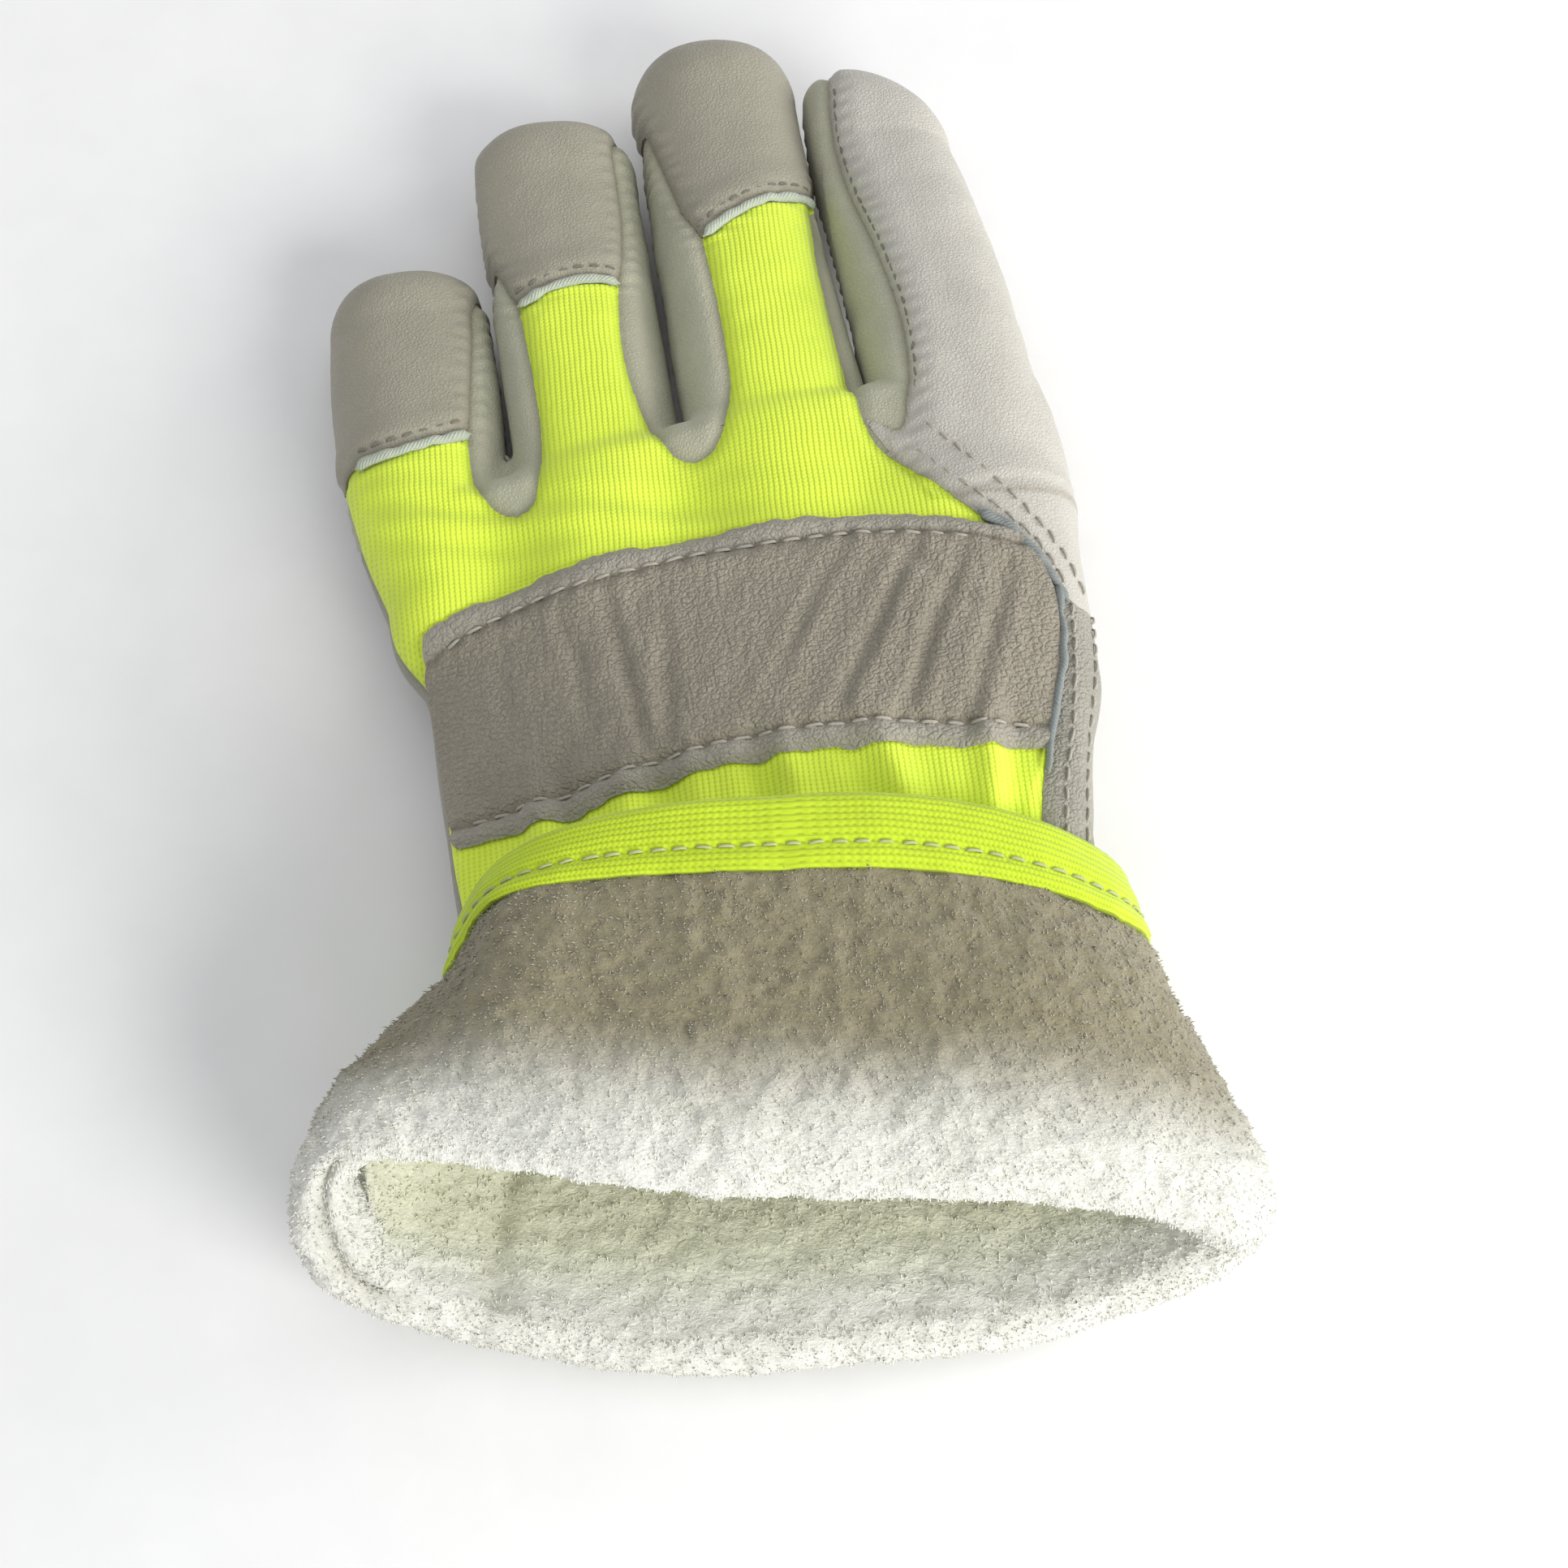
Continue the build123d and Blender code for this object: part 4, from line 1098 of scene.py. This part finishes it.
# ---- stitches and raw edges on the hand
YOKE_ROWS = {
    "yoke_outer_stitches": [(31.0, 56.5), (38.3, 46.6), (44.6, 38.0), (50.4, 29.0), (54.2, 20.0)],
    "yoke_inner_stitches": [(28.6, 51.4), (33.6, 44.6), (41.6, 35.9), (47.4, 28.6), (50.8, 21.0)],
}
GUSSET_ROWS = {
    "gusset_inner_stitches": [(51.4, 18.0), (50.6, 8.0), (48.8, -4.0), (46.3, -15.0), (44.6, -26.0)],
    "gusset_outer_stitches": [(55.2, 18.0), (54.2, 8.0), (52.4, -4.0), (50.0, -15.0), (48.4, -26.0)],
}
for name, line in {**YOKE_ROWS, **GUSSET_ROWS}.items():
    p, n = laid(curve(line, 0.8), 0.38)
    on_hand(stitches(name, p, n, 3.3, 2.5, 0.30, THREAD))
side_line = curve([(48.9, 20.6), (48.6, 10.8), (46.6, 0.1), (43.9, -9.8), (42.9, -14.5)], 0.8)
p, n = laid(side_line, 0.9)
on_hand(raw_edge("side_raw_edge", p, n, 0.65, 1.1, DARK_EDGE, 3, 0.35))
p, n = laid(curve([(37.5, 35.8), (42.8, 31.4), (46.6, 25.8), (49.2, 20.6), (50.6, 17.4)], 0.8), 0.7)
on_hand(raw_edge("yoke_raw_edge", p, n, 0.85, 1.0, DARK_EDGE, 5, 0.3))

# ---- stitches and raw edges on the fingers
for name, line in CAP_SEAM.items():
    plan = curve(line, 0.7)
    plan = plan[plan[:, 0] > -72.6]
    p, n = laid(aside(plan, -0.75), 0.30)
    blended(raw_edge(f"{name}_cap_edge", p, n, 0.95, 0.75, RAW_EDGE, len(name), 0.22))
    p, n = laid(aside(plan, 2.0)[1:-1], 0.62)
    blended(stitches(f"{name}_cap_stitches", p, n, 2.7, 2.1, 0.24, DARK_THREAD, 0.16, 0.2))
seam = curve(INDEX_SEAM, 0.7)
seam = seam[(seam[:, 1] > 64) & (seam[:, 1] < 146)]
p, n = laid(aside(seam, -1.3), 0.05)
blended(stitches("index_seam_stitches", p, n, 2.9, 2.2, 0.22, DARK_THREAD, 0.16, 0.2))

# ---- elastic under the knit at the wrist
def elastic():
    xs = np.linspace(-47, 35, 150)
    rows_at = np.linspace(-13.5, -8.0, 7)
    grid = np.array([(x, y) for y in rows_at for x in xs])
    p, n = laid(grid, -2.9)
    under = p - n * 0.7
    count, wide = len(rows_at), len(xs)
    faces = []
    for base, flip in ((0, False), (len(p), True)):
        for r in range(count - 1):
            for c in range(wide - 1):
                q = [base + r * wide + c, base + r * wide + c + 1, base + (r + 1) * wide + c + 1, base + (r + 1) * wide + c]
                faces.append(tuple(q[::-1]) if flip else tuple(q))
    loop = [c for c in range(wide)] + [r * wide + wide - 1 for r in range(1, count)]
    loop += [(count - 1) * wide + c for c in range(wide - 2, -1, -1)] + [r * wide for r in range(count - 2, 0, -1)]
    for a, b in zip(loop, loop[1:] + loop[:1]):
        faces.append((b, a, a + len(p), b + len(p)))
    both = np.concatenate([p, under])
    return outward_faces(make_mesh("wrist_elastic_band", both, faces, None, ELASTIC, both, np.zeros(len(both))))


on_hand(elastic())


# ==== cuff ==========================================================================================================
CUFF = [  # share of the way from hem to rim, then centre x, centre z, width, height
    (-0.5, 0.0, 28.3, 105, 46), (-0.2, -0.6, 27.8, 109, 51), (0.0, -1.6, 27.4, 113.5, 53.6), (0.25, -2.8, 27.6, 122, 54.4),
    (0.5, -5.4, 28.0, 137, 55.2), (0.75, -8.2, 28.3, 152, 56), (0.9, -8.6, 28.3, 158.5, 56.2), (1.0, -8.3, 28.1, 160, 55.2),
    (1.25, -7.6, 27.6, 160, 51),
]
HEM_LINE = [  # degrees round from the index side over the top, and y
    (0, -31), (31, -29), (49, -26.2), (67, -22.8), (95, -19.3), (129, -19.6), (148, -21.8), (165, -25.5), (200, -28), (270, -26), (330, -29),
]
RIM_LINE = [
    (0, -87), (28, -91), (50, -87), (70, -83), (90, -79), (105, -73.5), (120, -68), (138, -65), (155, -67), (170, -71), (182, -75),
    (205, -80), (235, -87), (265, -95.5), (290, -96), (315, -92), (335, -89),
]
FOLD = 11.0  # both layers of the cuff with their pile


def ring_y(line, a):
    rows = [(d - 360, y) for d, y in line[-3:]] + line + [(d + 360, y) for d, y in line[:3]]
    return along(rows, np.degrees(a) % 360)[0]


def cuff_point(a, s):
    """A point of the turned-back cuff's outside: a is the angle round it, s the share of the way from hem to rim."""
    x, z, wide, high = along(CUFF, s)
    power = 2 / 2.7
    c, q = np.cos(a), np.sin(a)
    u = wide / 2 * np.sign(c) * np.abs(c) ** power
    v = high / 2 * np.sign(q) * np.abs(q) ** power
    y = ring_y(HEM_LINE, a) * (1 - s) + ring_y(RIM_LINE, a) * s
    low_by = 1.3 - (z + v)
    flat = (low_by + np.sqrt(low_by ** 2 + 4.5)) / 2
    return np.stack([x + u, y, z + v + flat], -1)


def cuff_frame(a, s):
    """Point, outward normal and direction towards the rim."""
    e = 1e-3
    p = cuff_point(a, s)
    da, ds = cuff_point(a + e, s) - cuff_point(a - e, s), cuff_point(a, s + e) - cuff_point(a, s - e)
    n = np.cross(da, ds)
    n /= np.maximum(np.linalg.norm(n, axis=-1), 1e-12)[..., None]
    t = ds / np.maximum(np.linalg.norm(ds, axis=-1), 1e-12)[..., None]
    return p, n, t


def angles(count):
    """Angles round the cuff, evenly spaced along it."""
    a = np.linspace(-math.pi / 2, 1.5 * math.pi, 4001)
    p = cuff_point(a, np.full_like(a, 0.6))
    run = np.r_[0, np.cumsum(np.linalg.norm(np.diff(p, axis=0), axis=1))]
    return np.interp(np.linspace(0, run[-1], count, endpoint=False), run, a), run[-1]


def profile(a, places, thick=1.0):
    """Rings of points: each place is (share, how far in, how far round the fold)."""
    thick = np.broadcast_to(thick, a.shape)[:, None]
    rings, normals = [], []
    for s, depth, turn in places:
        p, n, t = cuff_frame(a, np.full_like(a, s))
        if turn is None:
            rings.append(p - n * depth * thick)
            normals.append(n if depth < FOLD / 2 else -n)
        else:
            rings.append(p + (-n * FOLD / 2 + (n * math.cos(turn) + t * math.sin(turn)) * depth) * thick)
            normals.append(n * math.cos(turn) + t * math.sin(turn))
    return np.array(rings), np.array(normals)


def ring_faces(count, around):
    i = np.arange(count - 1)[:, None] * around
    j = np.arange(around)[None]
    k = (j + 1) % around
    return np.stack([i + j, i + k, i + around + k, i + around + j], -1).reshape(-1, 4)


def cuff_folds(a, s, p):
    """Soft dents and ridges of the turned-back cuff."""
    d = 1.3 * layered(p, (34, 26, 30), 51, 2)
    d += 2.1 * bump((a - 2.25) * 30 + (s - 0.35) * 22, 7) * ramp(s, 0.02, 0.3)
    d -= 1.8 * bump((a - 2.25) * 30 + (s - 0.35) * 22 - 11, 7) * ramp(s, 0.02, 0.3)
    return d


def pile(p, w=1.0):
    """The clumped nap of the fleece."""
    clumps = layered(p, (2.9, 2.2, 2.6), 61, 2)
    fine = noise(p, (1.3, 1.0, 1.2), 67)
    return w * (0.48 * clumps + 0.22 * fine + 0.35 * layered(p, 9, 69, 1))


# Stores the yellow-green painted shade for the inside of the cuff as a point attribute.
def paint_mouth_shade(ob, values):
    ob.data.attributes.new("mouth_shade", "FLOAT", "POINT").data.foreach_set("value", np.asarray(values, np.float32))


def tufts(p, out, turn, shade, mouth_shade, around):
    """Short tapering locks of pile standing out of the cuff's fleece, combed towards the rim."""
    ahead = np.roll(p, -around, axis=0) - p
    ahead /= np.maximum(np.linalg.norm(ahead, axis=1), 1e-9)[:, None]
    groups = (
        ("cuff_pile_outside", turn < 0.02, 16000, 0.85),
        ("cuff_pile_rim", (turn >= 0.02) & (turn < 0.98), 9000, 0.8),
        ("cuff_pile_inside", turn >= 0.98, 11000, 0.9),
    )
    for name, chosen, count, size in groups:
        usable = np.flatnonzero(chosen)
        usable = usable[(usable > 4 * around) & (usable < len(p) - 8 * around)]
        pick = rng.choice(usable, count)
        base = p[pick] + rng.normal(0, 0.35, (count, 3))
        up = out[pick]
        base += up * (-0.25 - np.einsum("ij,ij->i", base - p[pick], up))[:, None]
        long = size * rng.uniform(0.6, 1.3, count)[:, None]
        comb = ahead[pick] * rng.uniform(0.2, 1.0, count)[:, None] + rng.normal(0, 0.32, (count, 3))
        middle = base + (up * 0.62 + comb * 0.30) * long
        tip = base + (up * 0.72 + comb * 0.85) * long
        tip[:, 2] = np.maximum(tip[:, 2], 0.2)
        middle[:, 2] = np.maximum(middle[:, 2], 0.2)
        a = np.cross(up, rng.normal(0, 1, (count, 3)))
        a /= np.linalg.norm(a, axis=1)[:, None]
        b = np.cross(up, a)
        points = []
        for centre, r in ((base, 0.17), (middle, 0.14)):
            for k in range(3):
                angle = 2 * math.pi * k / 3
                points.append(centre + (a * math.cos(angle) + b * math.sin(angle)) * r)
        points = np.stack(points + [tip], 1).reshape(-1, 3)
        start = np.arange(count) * 7
        sides = np.concatenate([np.stack([start + k, start + (k + 1) % 3, start + 3 + (k + 1) % 3, start + 3 + k], 1) for k in range(3)])
        caps = np.concatenate([np.stack([start + 3 + k, start + 3 + (k + 1) % 3, start + 6], 1) for k in range(3)] + [np.stack([start + 2, start + 1, start], 1)])
        # Each lock takes the painted shade of the fleece under it, less of it towards its tip.
        painted_shade = np.repeat(shade[pick], 7) * np.tile([1, 1, 1, 0.9, 0.9, 0.9, 0.72], count)
        paint_mouth_shade(on_hand(make_mesh(name, points, [*sides, *caps], None, PILE, points, painted_shade)), np.repeat(mouth_shade[pick], 7))


def cuff_fleece():
    around = 470
    a, _ = angles(around)
    step = 0.85
    n_out, n_roll, n_in, n_deep = int(60 / step), int(17 / step) + 4, int(60 / step), int(24 / step)
    places = [(s, 0.0, None) for s in np.linspace(0.03, 1.0, n_out)]
    places += [(1.0, FOLD / 2, t) for t in np.linspace(0, math.pi, n_roll + 2)[1:-1]]
    places += [(s, FOLD, None) for s in np.linspace(1.0, 0.0, n_in)]
    places += [(s, FOLD + 7.5 * (-s / 0.36) ** 0.8, None) for s in np.linspace(0.0, -0.36, n_deep + 1)[1:]]
    rings, normals = profile(a, places, 1 + 0.22 * bump(np.degrees(a) - 186, 18) - 0.28 * bump(np.degrees(a) - 150, 15))
    count = len(places)
    s = np.array([q[0] for q in places])[:, None] + 0 * a[None]
    A = a[None] + 0 * s
    flat, way = rings.reshape(-1, 3), normals.reshape(-1, 3)
    inner = np.array([0.0 if q[2] is None and q[1] < 1 else (1.0 if q[2] is None else q[2] / math.pi) for q in places])[:, None] + 0 * A
    folds = cuff_folds(A.ravel(), s.ravel(), flat)
    sign = np.where(inner.ravel() < 0.5, 1.0, -1.0) * np.abs(np.cos(inner.ravel() * math.pi))
    flat = flat + way * (folds * sign * np.where(inner.ravel() > 0.5, 0.6, 1.0))[:, None]
    strength = np.where(inner.ravel() > 0.9, 0.8, 1.0) * ramp(np.maximum(s.ravel(), inner.ravel()), 0.03, 0.12)
    turn, degrees = inner.ravel(), np.degrees(A.ravel())
    curl = bump((turn - 0.34 - 0.0072 * (degrees - 160)) * 17, 2.0) * ramp(degrees, 142, 160) * ramp(degrees, 226, 206)
    tuck = bump(degrees - 231 - 6 * s.ravel(), 3.2) * ramp(turn, 0.85, 1.0)
    flat = flat + way * (pile(flat, strength) - 2.6 * curl - 1.8 * tuck)[:, None]
    flat[:, 2] = np.maximum(flat[:, 2], 0.25 + 0.25 * noise(flat, 2.0, 5))
    faces = ring_faces(count, around)
    top = np.sin(A.ravel())
    # Painted shade: darker away from the rim on the turned-back outside, more so on its top, and in the curl and tuck
    # creases.
    shade = ramp(1 - s.ravel() + 0.02 * noise(flat, 9, 71), -0.02, 0.40) * (1 - inner.ravel() * 2).clip(0, 1)
    shade = shade * (0.62 + 0.38 * ramp(top, -0.4, 0.5))
    shade = np.maximum.reduce([shade, 0.30 * curl, 0.20 * tuck])
    # Painted shade, tinted yellow-green, on the inside of the cuff away from the rim.
    mouth_shade = 0.68 * ramp(turn, 0.75, 1.0) * ramp(1 - s.ravel(), 0.0, 0.25)
    tufts(flat, way, turn, shade, mouth_shade, around)
    ob = make_mesh("cuff_fleece", flat, faces[:, ::-1], None, FLEECE, flat, shade)
    paint_mouth_shade(ob, mouth_shade)
    return on_hand(outward_faces(ob))


def ring_piece(name, places, material, around=None, lift=None, closed=True):
    around = around or (360)
    a, length = angles(around)
    rings, normals = profile(a, places)
    count = len(places)
    s = np.array([q[0] for q in places])[:, None] + 0 * a[None]
    A = a[None] + 0 * s
    flat, way = rings.reshape(-1, 3), normals.reshape(-1, 3)
    centre = cuff_folds(A.ravel(), s.ravel(), flat)
    flat = flat + cuff_frame(A.ravel(), s.ravel())[1] * centre[:, None]
    if lift is not None:
        flat = flat + cuff_frame(A.ravel(), s.ravel())[1] * lift(A, s, flat).reshape(-1)[:, None]
    flat[:, 2] = np.maximum(flat[:, 2], 0.2)
    run = np.r_[0, np.cumsum(np.linalg.norm(np.diff(rings, axis=0), axis=2).mean(1))]
    weave = np.stack([run[:, None] + 0 * A, A * length / (2 * math.pi), 0 * A], -1).reshape(-1, 3)
    faces = ring_faces(count, around)
    if closed:
        i = (count - 1) * around
        j = np.arange(around)
        k = (j + 1) % around
        faces = np.concatenate([faces, np.stack([i + j, i + k, k, j], -1)])
    return on_hand(outward_faces(make_mesh(name, flat, faces, None, material, weave, np.zeros(len(flat)))))


cuff_fleece()

# The binding wraps the hem: a flat band outside, a rolled edge, and a short turn-under.
BAND = 0.185
band_out = [(s, -1.1 + 0.5 * bump(s - BAND, 0.012), None) for s in np.linspace(BAND, 0.0, 16)]
band_roll = [(-0.004 - 0.055 * math.sin(t), 2.4 - 3.5 * math.cos(t), None) for t in np.linspace(0.12, math.pi - 0.1, 14)]
band_under = [(s, 5.9, None) for s in np.linspace(0.0, 0.07, 5)]
band_back = [(s, 4.6, None) for s in (0.07, 0.02)] + [(0.02, 0.4, None), (BAND, 0.2, None)]


def band_form(A, s, p):
    groove = -0.45 * bump(s - 0.112, 0.012) + 0.25 * bump(s - 0.06, 0.03) + 0.18 * bump(s - 0.15, 0.02)
    ragged = 0.25 * layered(p, (2.0, 2.0, 2.0), 91, 2).reshape(s.shape) * bump(s - BAND, 0.02)
    return groove + ragged + 0.12 * noise(p, 4.0, 93).reshape(s.shape)


ring_piece("cuff_binding_knit", band_out + band_roll + band_under + band_back, BINDING_CLOTH, lift=band_form)
ring_piece(
    "cuff_cloth",
    [(s, 4.3, None) for s in np.linspace(0.02, 0.97, 30)] + [(0.985, 5.0, None), (0.985, 6.0, None)]
    + [(s, 6.8, None) for s in np.linspace(0.97, 0.12, 30)] + [(s, 5.9, None) for s in np.linspace(0.12, 0.95, 24)]
    + [(s, 5.1, None) for s in np.linspace(0.95, 0.02, 24)],
    SHELL_CLOTH, around=220,
)


def binding_stitches():
    a, _ = angles(900)
    p, n, _ = cuff_frame(a, np.full_like(a, 0.112))
    p = p + n * (cuff_folds(a, np.full_like(a, 0.112), p) + 0.85)[:, None]
    p[:, 2] = np.maximum(p[:, 2], 0.5)
    p, n = np.vstack([p, p[:1]]), np.vstack([n, n[:1]])
    return on_hand(stitches("binding_topstitch", p, n, 3.7, 2.7, 0.30, BINDING_THREAD, 0.22, 0.3))


binding_stitches()


# ==== thumb =========================================================================================================
def thumb_skin(grow=0.0):
    around, steps = ((150, 130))
    a = np.linspace(0, 2 * math.pi, around, endpoint=False)
    verts = []
    for t in np.linspace(-math.pi / 2 + 0.03, math.pi / 2 - 0.03, steps):
        y = 19.5 + 30.5 * math.sin(t)
        x, z, wide, high = along(THUMB, np.array([y]))[:, 0]
        r = max(math.cos(t), 0.02) ** 0.6
        u, v = wide / 2 * r * np.cos(a), high / 2 * r * np.sin(a)
        verts.append(np.column_stack([x + u * math.cos(THUMB_TILT) - v * math.sin(THUMB_TILT), np.full(around, y), z + u * math.sin(THUMB_TILT) + v * math.cos(THUMB_TILT)]))
    verts = np.concatenate(verts)
    faces = ring_faces(steps, around)
    t = np.concatenate([faces[:, [0, 1, 2]], faces[:, [0, 2, 3]]])
    centre = np.array([verts[:around].mean(0), verts[-around:].mean(0)])
    base = len(verts)
    last = (steps - 1) * around
    fans = [(base, (k + 1) % around, k) for k in range(around)] + [(base + 1, last + k, last + (k + 1) % around) for k in range(around)]
    t = np.concatenate([t, np.array(fans)])[:, ::-1]
    p, n = settle(np.concatenate([verts, centre]), lambda q: thumb_distance(q) - grow, 6)
    return p, n, t


p, n, t = thumb_skin()
x, z, _, high = along(THUMB, p[:, 1])
_, v = turned(p, x, z, THUMB_TILT)
seam_v = v + 1.0 + 0.8 * np.sin(p[:, 1] * 0.13)
lift = 0.35 * layered(p, 17, 101, 2) - 0.9 * bump(seam_v, 1.3) + 0.4 * bump(np.abs(seam_v) - 3.2, 2.4)
lift += 0.2 * np.sin(p[:, 1] * 2 * math.pi / 3.4) * bump(np.abs(seam_v) - 1.9, 1.2)
p = p + n * lift[:, None]
p[:, 2] = np.maximum(p[:, 2], 0.3)
thumb = Skin(p, t)
# Painted shade in the thumb's seam groove.
thumb.values = dict(normal=thumb.normals(), pattern=p, painted_shade=0.6 * bump(seam_v, 0.8), seam=seam_v)
if np.einsum("ij,ij->i", thumb.values["normal"], n).mean() < 0:
    thumb = Skin(p, t[:, ::-1])
    thumb.values = dict(normal=thumb.normals(), pattern=p, painted_shade=0.6 * bump(seam_v, 0.8), seam=seam_v)
top_part, low_part = cut(thumb, "seam")
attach(panel("thumb_back_leather", largest(top_part), CAP), "thumb")
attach(panel("thumb_front_leather", largest(low_part), PALM), "thumb")


def thumb_root():
    """The round neck that joins the thumb to the palm, about the line it swings on."""
    around, steps = 90, 24
    a = np.linspace(0, 2 * math.pi, around, endpoint=False)
    axis = np.array([-math.sin(THUMB_TILT), 0, math.cos(THUMB_TILT)])
    east = np.array([math.cos(THUMB_TILT), 0, math.sin(THUMB_TILT)])
    p = []
    for f in np.linspace(0, 1, steps):
        r = 13.4 - 1.1 * math.sin(math.pi * min(1, max(0, (f - 0.25) / 0.6))) + 0.22 * np.sin(a * 13) * math.sin(math.pi * f) + 1.6 * f * f
        r = r * (0.35 if f == 0 or f == 1 else 1)
        p.append(np.array([39, 3, 9]) + axis * (f * 19) + np.outer(r * np.cos(a), east) + np.outer(r * np.sin(a), [0, 1, 0]))
    p = np.concatenate(p)
    faces = [tuple(q) for q in ring_faces(steps, around)]
    faces += [tuple(range(around))[::-1], tuple(range((steps - 1) * around, steps * around))]
    # Painted shade in a band round the neck, 17.5 mm up.
    return outward_faces(make_mesh("thumb_root_leather", p, faces, None, PALM, p, 0.25 * bump(p[:, 2] - 17.5, 1.2)))


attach(thumb_root(), "thumb")
p, n, t = thumb_skin(-3.0)
# The thumb lining is painted half-way to the fleece's shade colour: painted shade inside the thumb.
inner = Skin(p, t, normal=-n, pattern=p, painted_shade=np.full(len(p), 0.5))
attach(panel("thumb_lining_fleece", inner, FLEECE), "thumb")

# ==== which CAD nodes the pieces stand for ==========================================================================
STANDS_FOR = {
    "back_panel_knit": ["back_panel"], "palm_leather_panel": ["palm_panel"], "index_yoke_leather": ["index_yoke"],
    "thumb_gusset_leather": ["thumb_gusset"], "knuckle_strap_leather": ["knuckle_strap"], "hand_lining_fleece": ["hand_lining"],
    "strap_front_stitches": ["strap_front_thread"], "strap_rear_stitches": ["strap_rear_thread"],
    "yoke_outer_stitches": ["yoke_outer_thread"], "yoke_inner_stitches": ["yoke_inner_thread"],
    "gusset_inner_stitches": ["gusset_inner_thread"], "gusset_outer_stitches": ["gusset_outer_thread"],
    "side_raw_edge": ["side_welt"], "wrist_elastic_band": ["wrist_elastic"], "cuff_fleece": ["cuff_lining"],
    "cuff_binding_knit": ["cuff_binding"], "cuff_cloth": ["cuff_shell"], "binding_topstitch": ["binding_thread"],
    "thumb_back_leather": ["thumb_back"], "thumb_front_leather": ["thumb_front"], "thumb_lining_fleece": ["thumb_lining"],
    "index_back_leather": ["index_back"], "index_side_strip": ["index_fourchette"], "index_front_leather": ["index_front"],
    "index_lining_fleece": ["index_lining"], "index_seam_stitches": ["index_seam_thread"],
}
for name in ORDER[:3]:
    sides = [f"{name}_fourchette"] if name == "little" else [f"{name}_fourchette_outer", f"{name}_fourchette_inner"]
    STANDS_FOR |= {
        f"{name}_cap_leather": [f"{name}_cap"], f"{name}_stall_knit": [f"{name}_stall"], f"{name}_side_strips": sides,
        f"{name}_front_leather": [f"{name}_front"], f"{name}_lining_fleece": [f"{name}_lining"],
        f"{name}_cap_edge": [f"{name}_welt"], f"{name}_cap_stitches": [f"{name}_cap_thread"],
    }
for piece, nodes in STANDS_FOR.items():
    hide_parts(*nodes)

# ==== camera, light and floor =======================================================================================
CAMERA = dict(azimuth=-8.0, elevation=66.0, distance=520.0, aim=(0.0, 0.0, 20.0), roll=2.0, lens=67.08)


def place_camera():
    a, e, r = (math.radians(CAMERA[k]) for k in ("azimuth", "elevation", "roll"))
    back = Vector((math.sin(a) * math.cos(e), -math.cos(a) * math.cos(e), math.sin(e)))
    right = Vector((math.cos(a), math.sin(a), 0))
    up_way = back.cross(right)
    right, up_way = right * math.cos(r) + up_way * math.sin(r), up_way * math.cos(r) - right * math.sin(r)
    data = bpy.data.cameras.new("camera")
    data.lens, data.sensor_width = CAMERA["lens"], 36.0
    ob = bpy.data.objects.new("camera", data)
    bpy.context.scene.collection.objects.link(ob)
    at = Vector(row(CAMERA["aim"])) + back * CAMERA["distance"] / 1000
    m = Matrix((right, up_way, back)).transposed().to_4x4()
    m.translation = at
    ob.matrix_world = m
    bpy.context.scene.camera = ob


def area_light(name, at, aim, size, power, colour=(1, 1, 1)):
    data = bpy.data.lights.new(name, "AREA")
    data.shape, data.size, data.energy, data.color = "DISK", size, power, colour
    ob = bpy.data.objects.new(name, data)
    bpy.context.scene.collection.objects.link(ob)
    ob.location = at
    ob.rotation_euler = (Vector(aim) - Vector(at)).to_track_quat("-Z", "Y").to_euler()


place_camera()
area_light("window", (0.55, -0.85, 0.55), (0, 0, 0.02), 0.7, 10.5, (1.0, 0.99, 0.965))
area_light("side", (0.9, 0.15, 0.35), (0, 0.03, 0.02), 0.5, 4.2, (1.0, 0.99, 0.97))
area_light("sky", (-0.1, 0.2, 1.1), (0, 0, 0), 1.2, 3.0, (0.98, 0.985, 1.0))
world = bpy.data.worlds.new("world")
world.use_nodes = True
world.node_tree.nodes["Background"].inputs[0].default_value = (0.95, 0.96, 1.0, 1)
world.node_tree.nodes["Background"].inputs[1].default_value = 0.46
bpy.context.scene.world = world
bpy.context.scene.view_settings.view_transform = "Standard"


def floor():
    mesh = bpy.data.meshes.new("floor")
    s = 3.0
    mesh.from_pydata([(-s, -s, -0.0002), (s, -s, -0.0002), (s, s, -0.0002), (-s, s, -0.0002)], [], [(0, 1, 2, 3)])
    m, tree, shader = new_material("floor")
    n = Nodes(tree)
    place = n.add("ShaderNodeTexCoord").outputs["Object"]
    grain = n.noise(place, 60.0, 3.0)
    tree.links.new(n.blend(n.stretch(grain, 0.3, 0.7), (0.90, 0.90, 0.895, 1), (0.93, 0.93, 0.925, 1)), shader.inputs["Base Color"])
    shader.inputs["Roughness"].default_value = 0.9
    mesh.materials.append(m)
    ob = bpy.data.objects.new("floor", mesh)
    bpy.context.scene.collection.objects.link(ob)


floor()
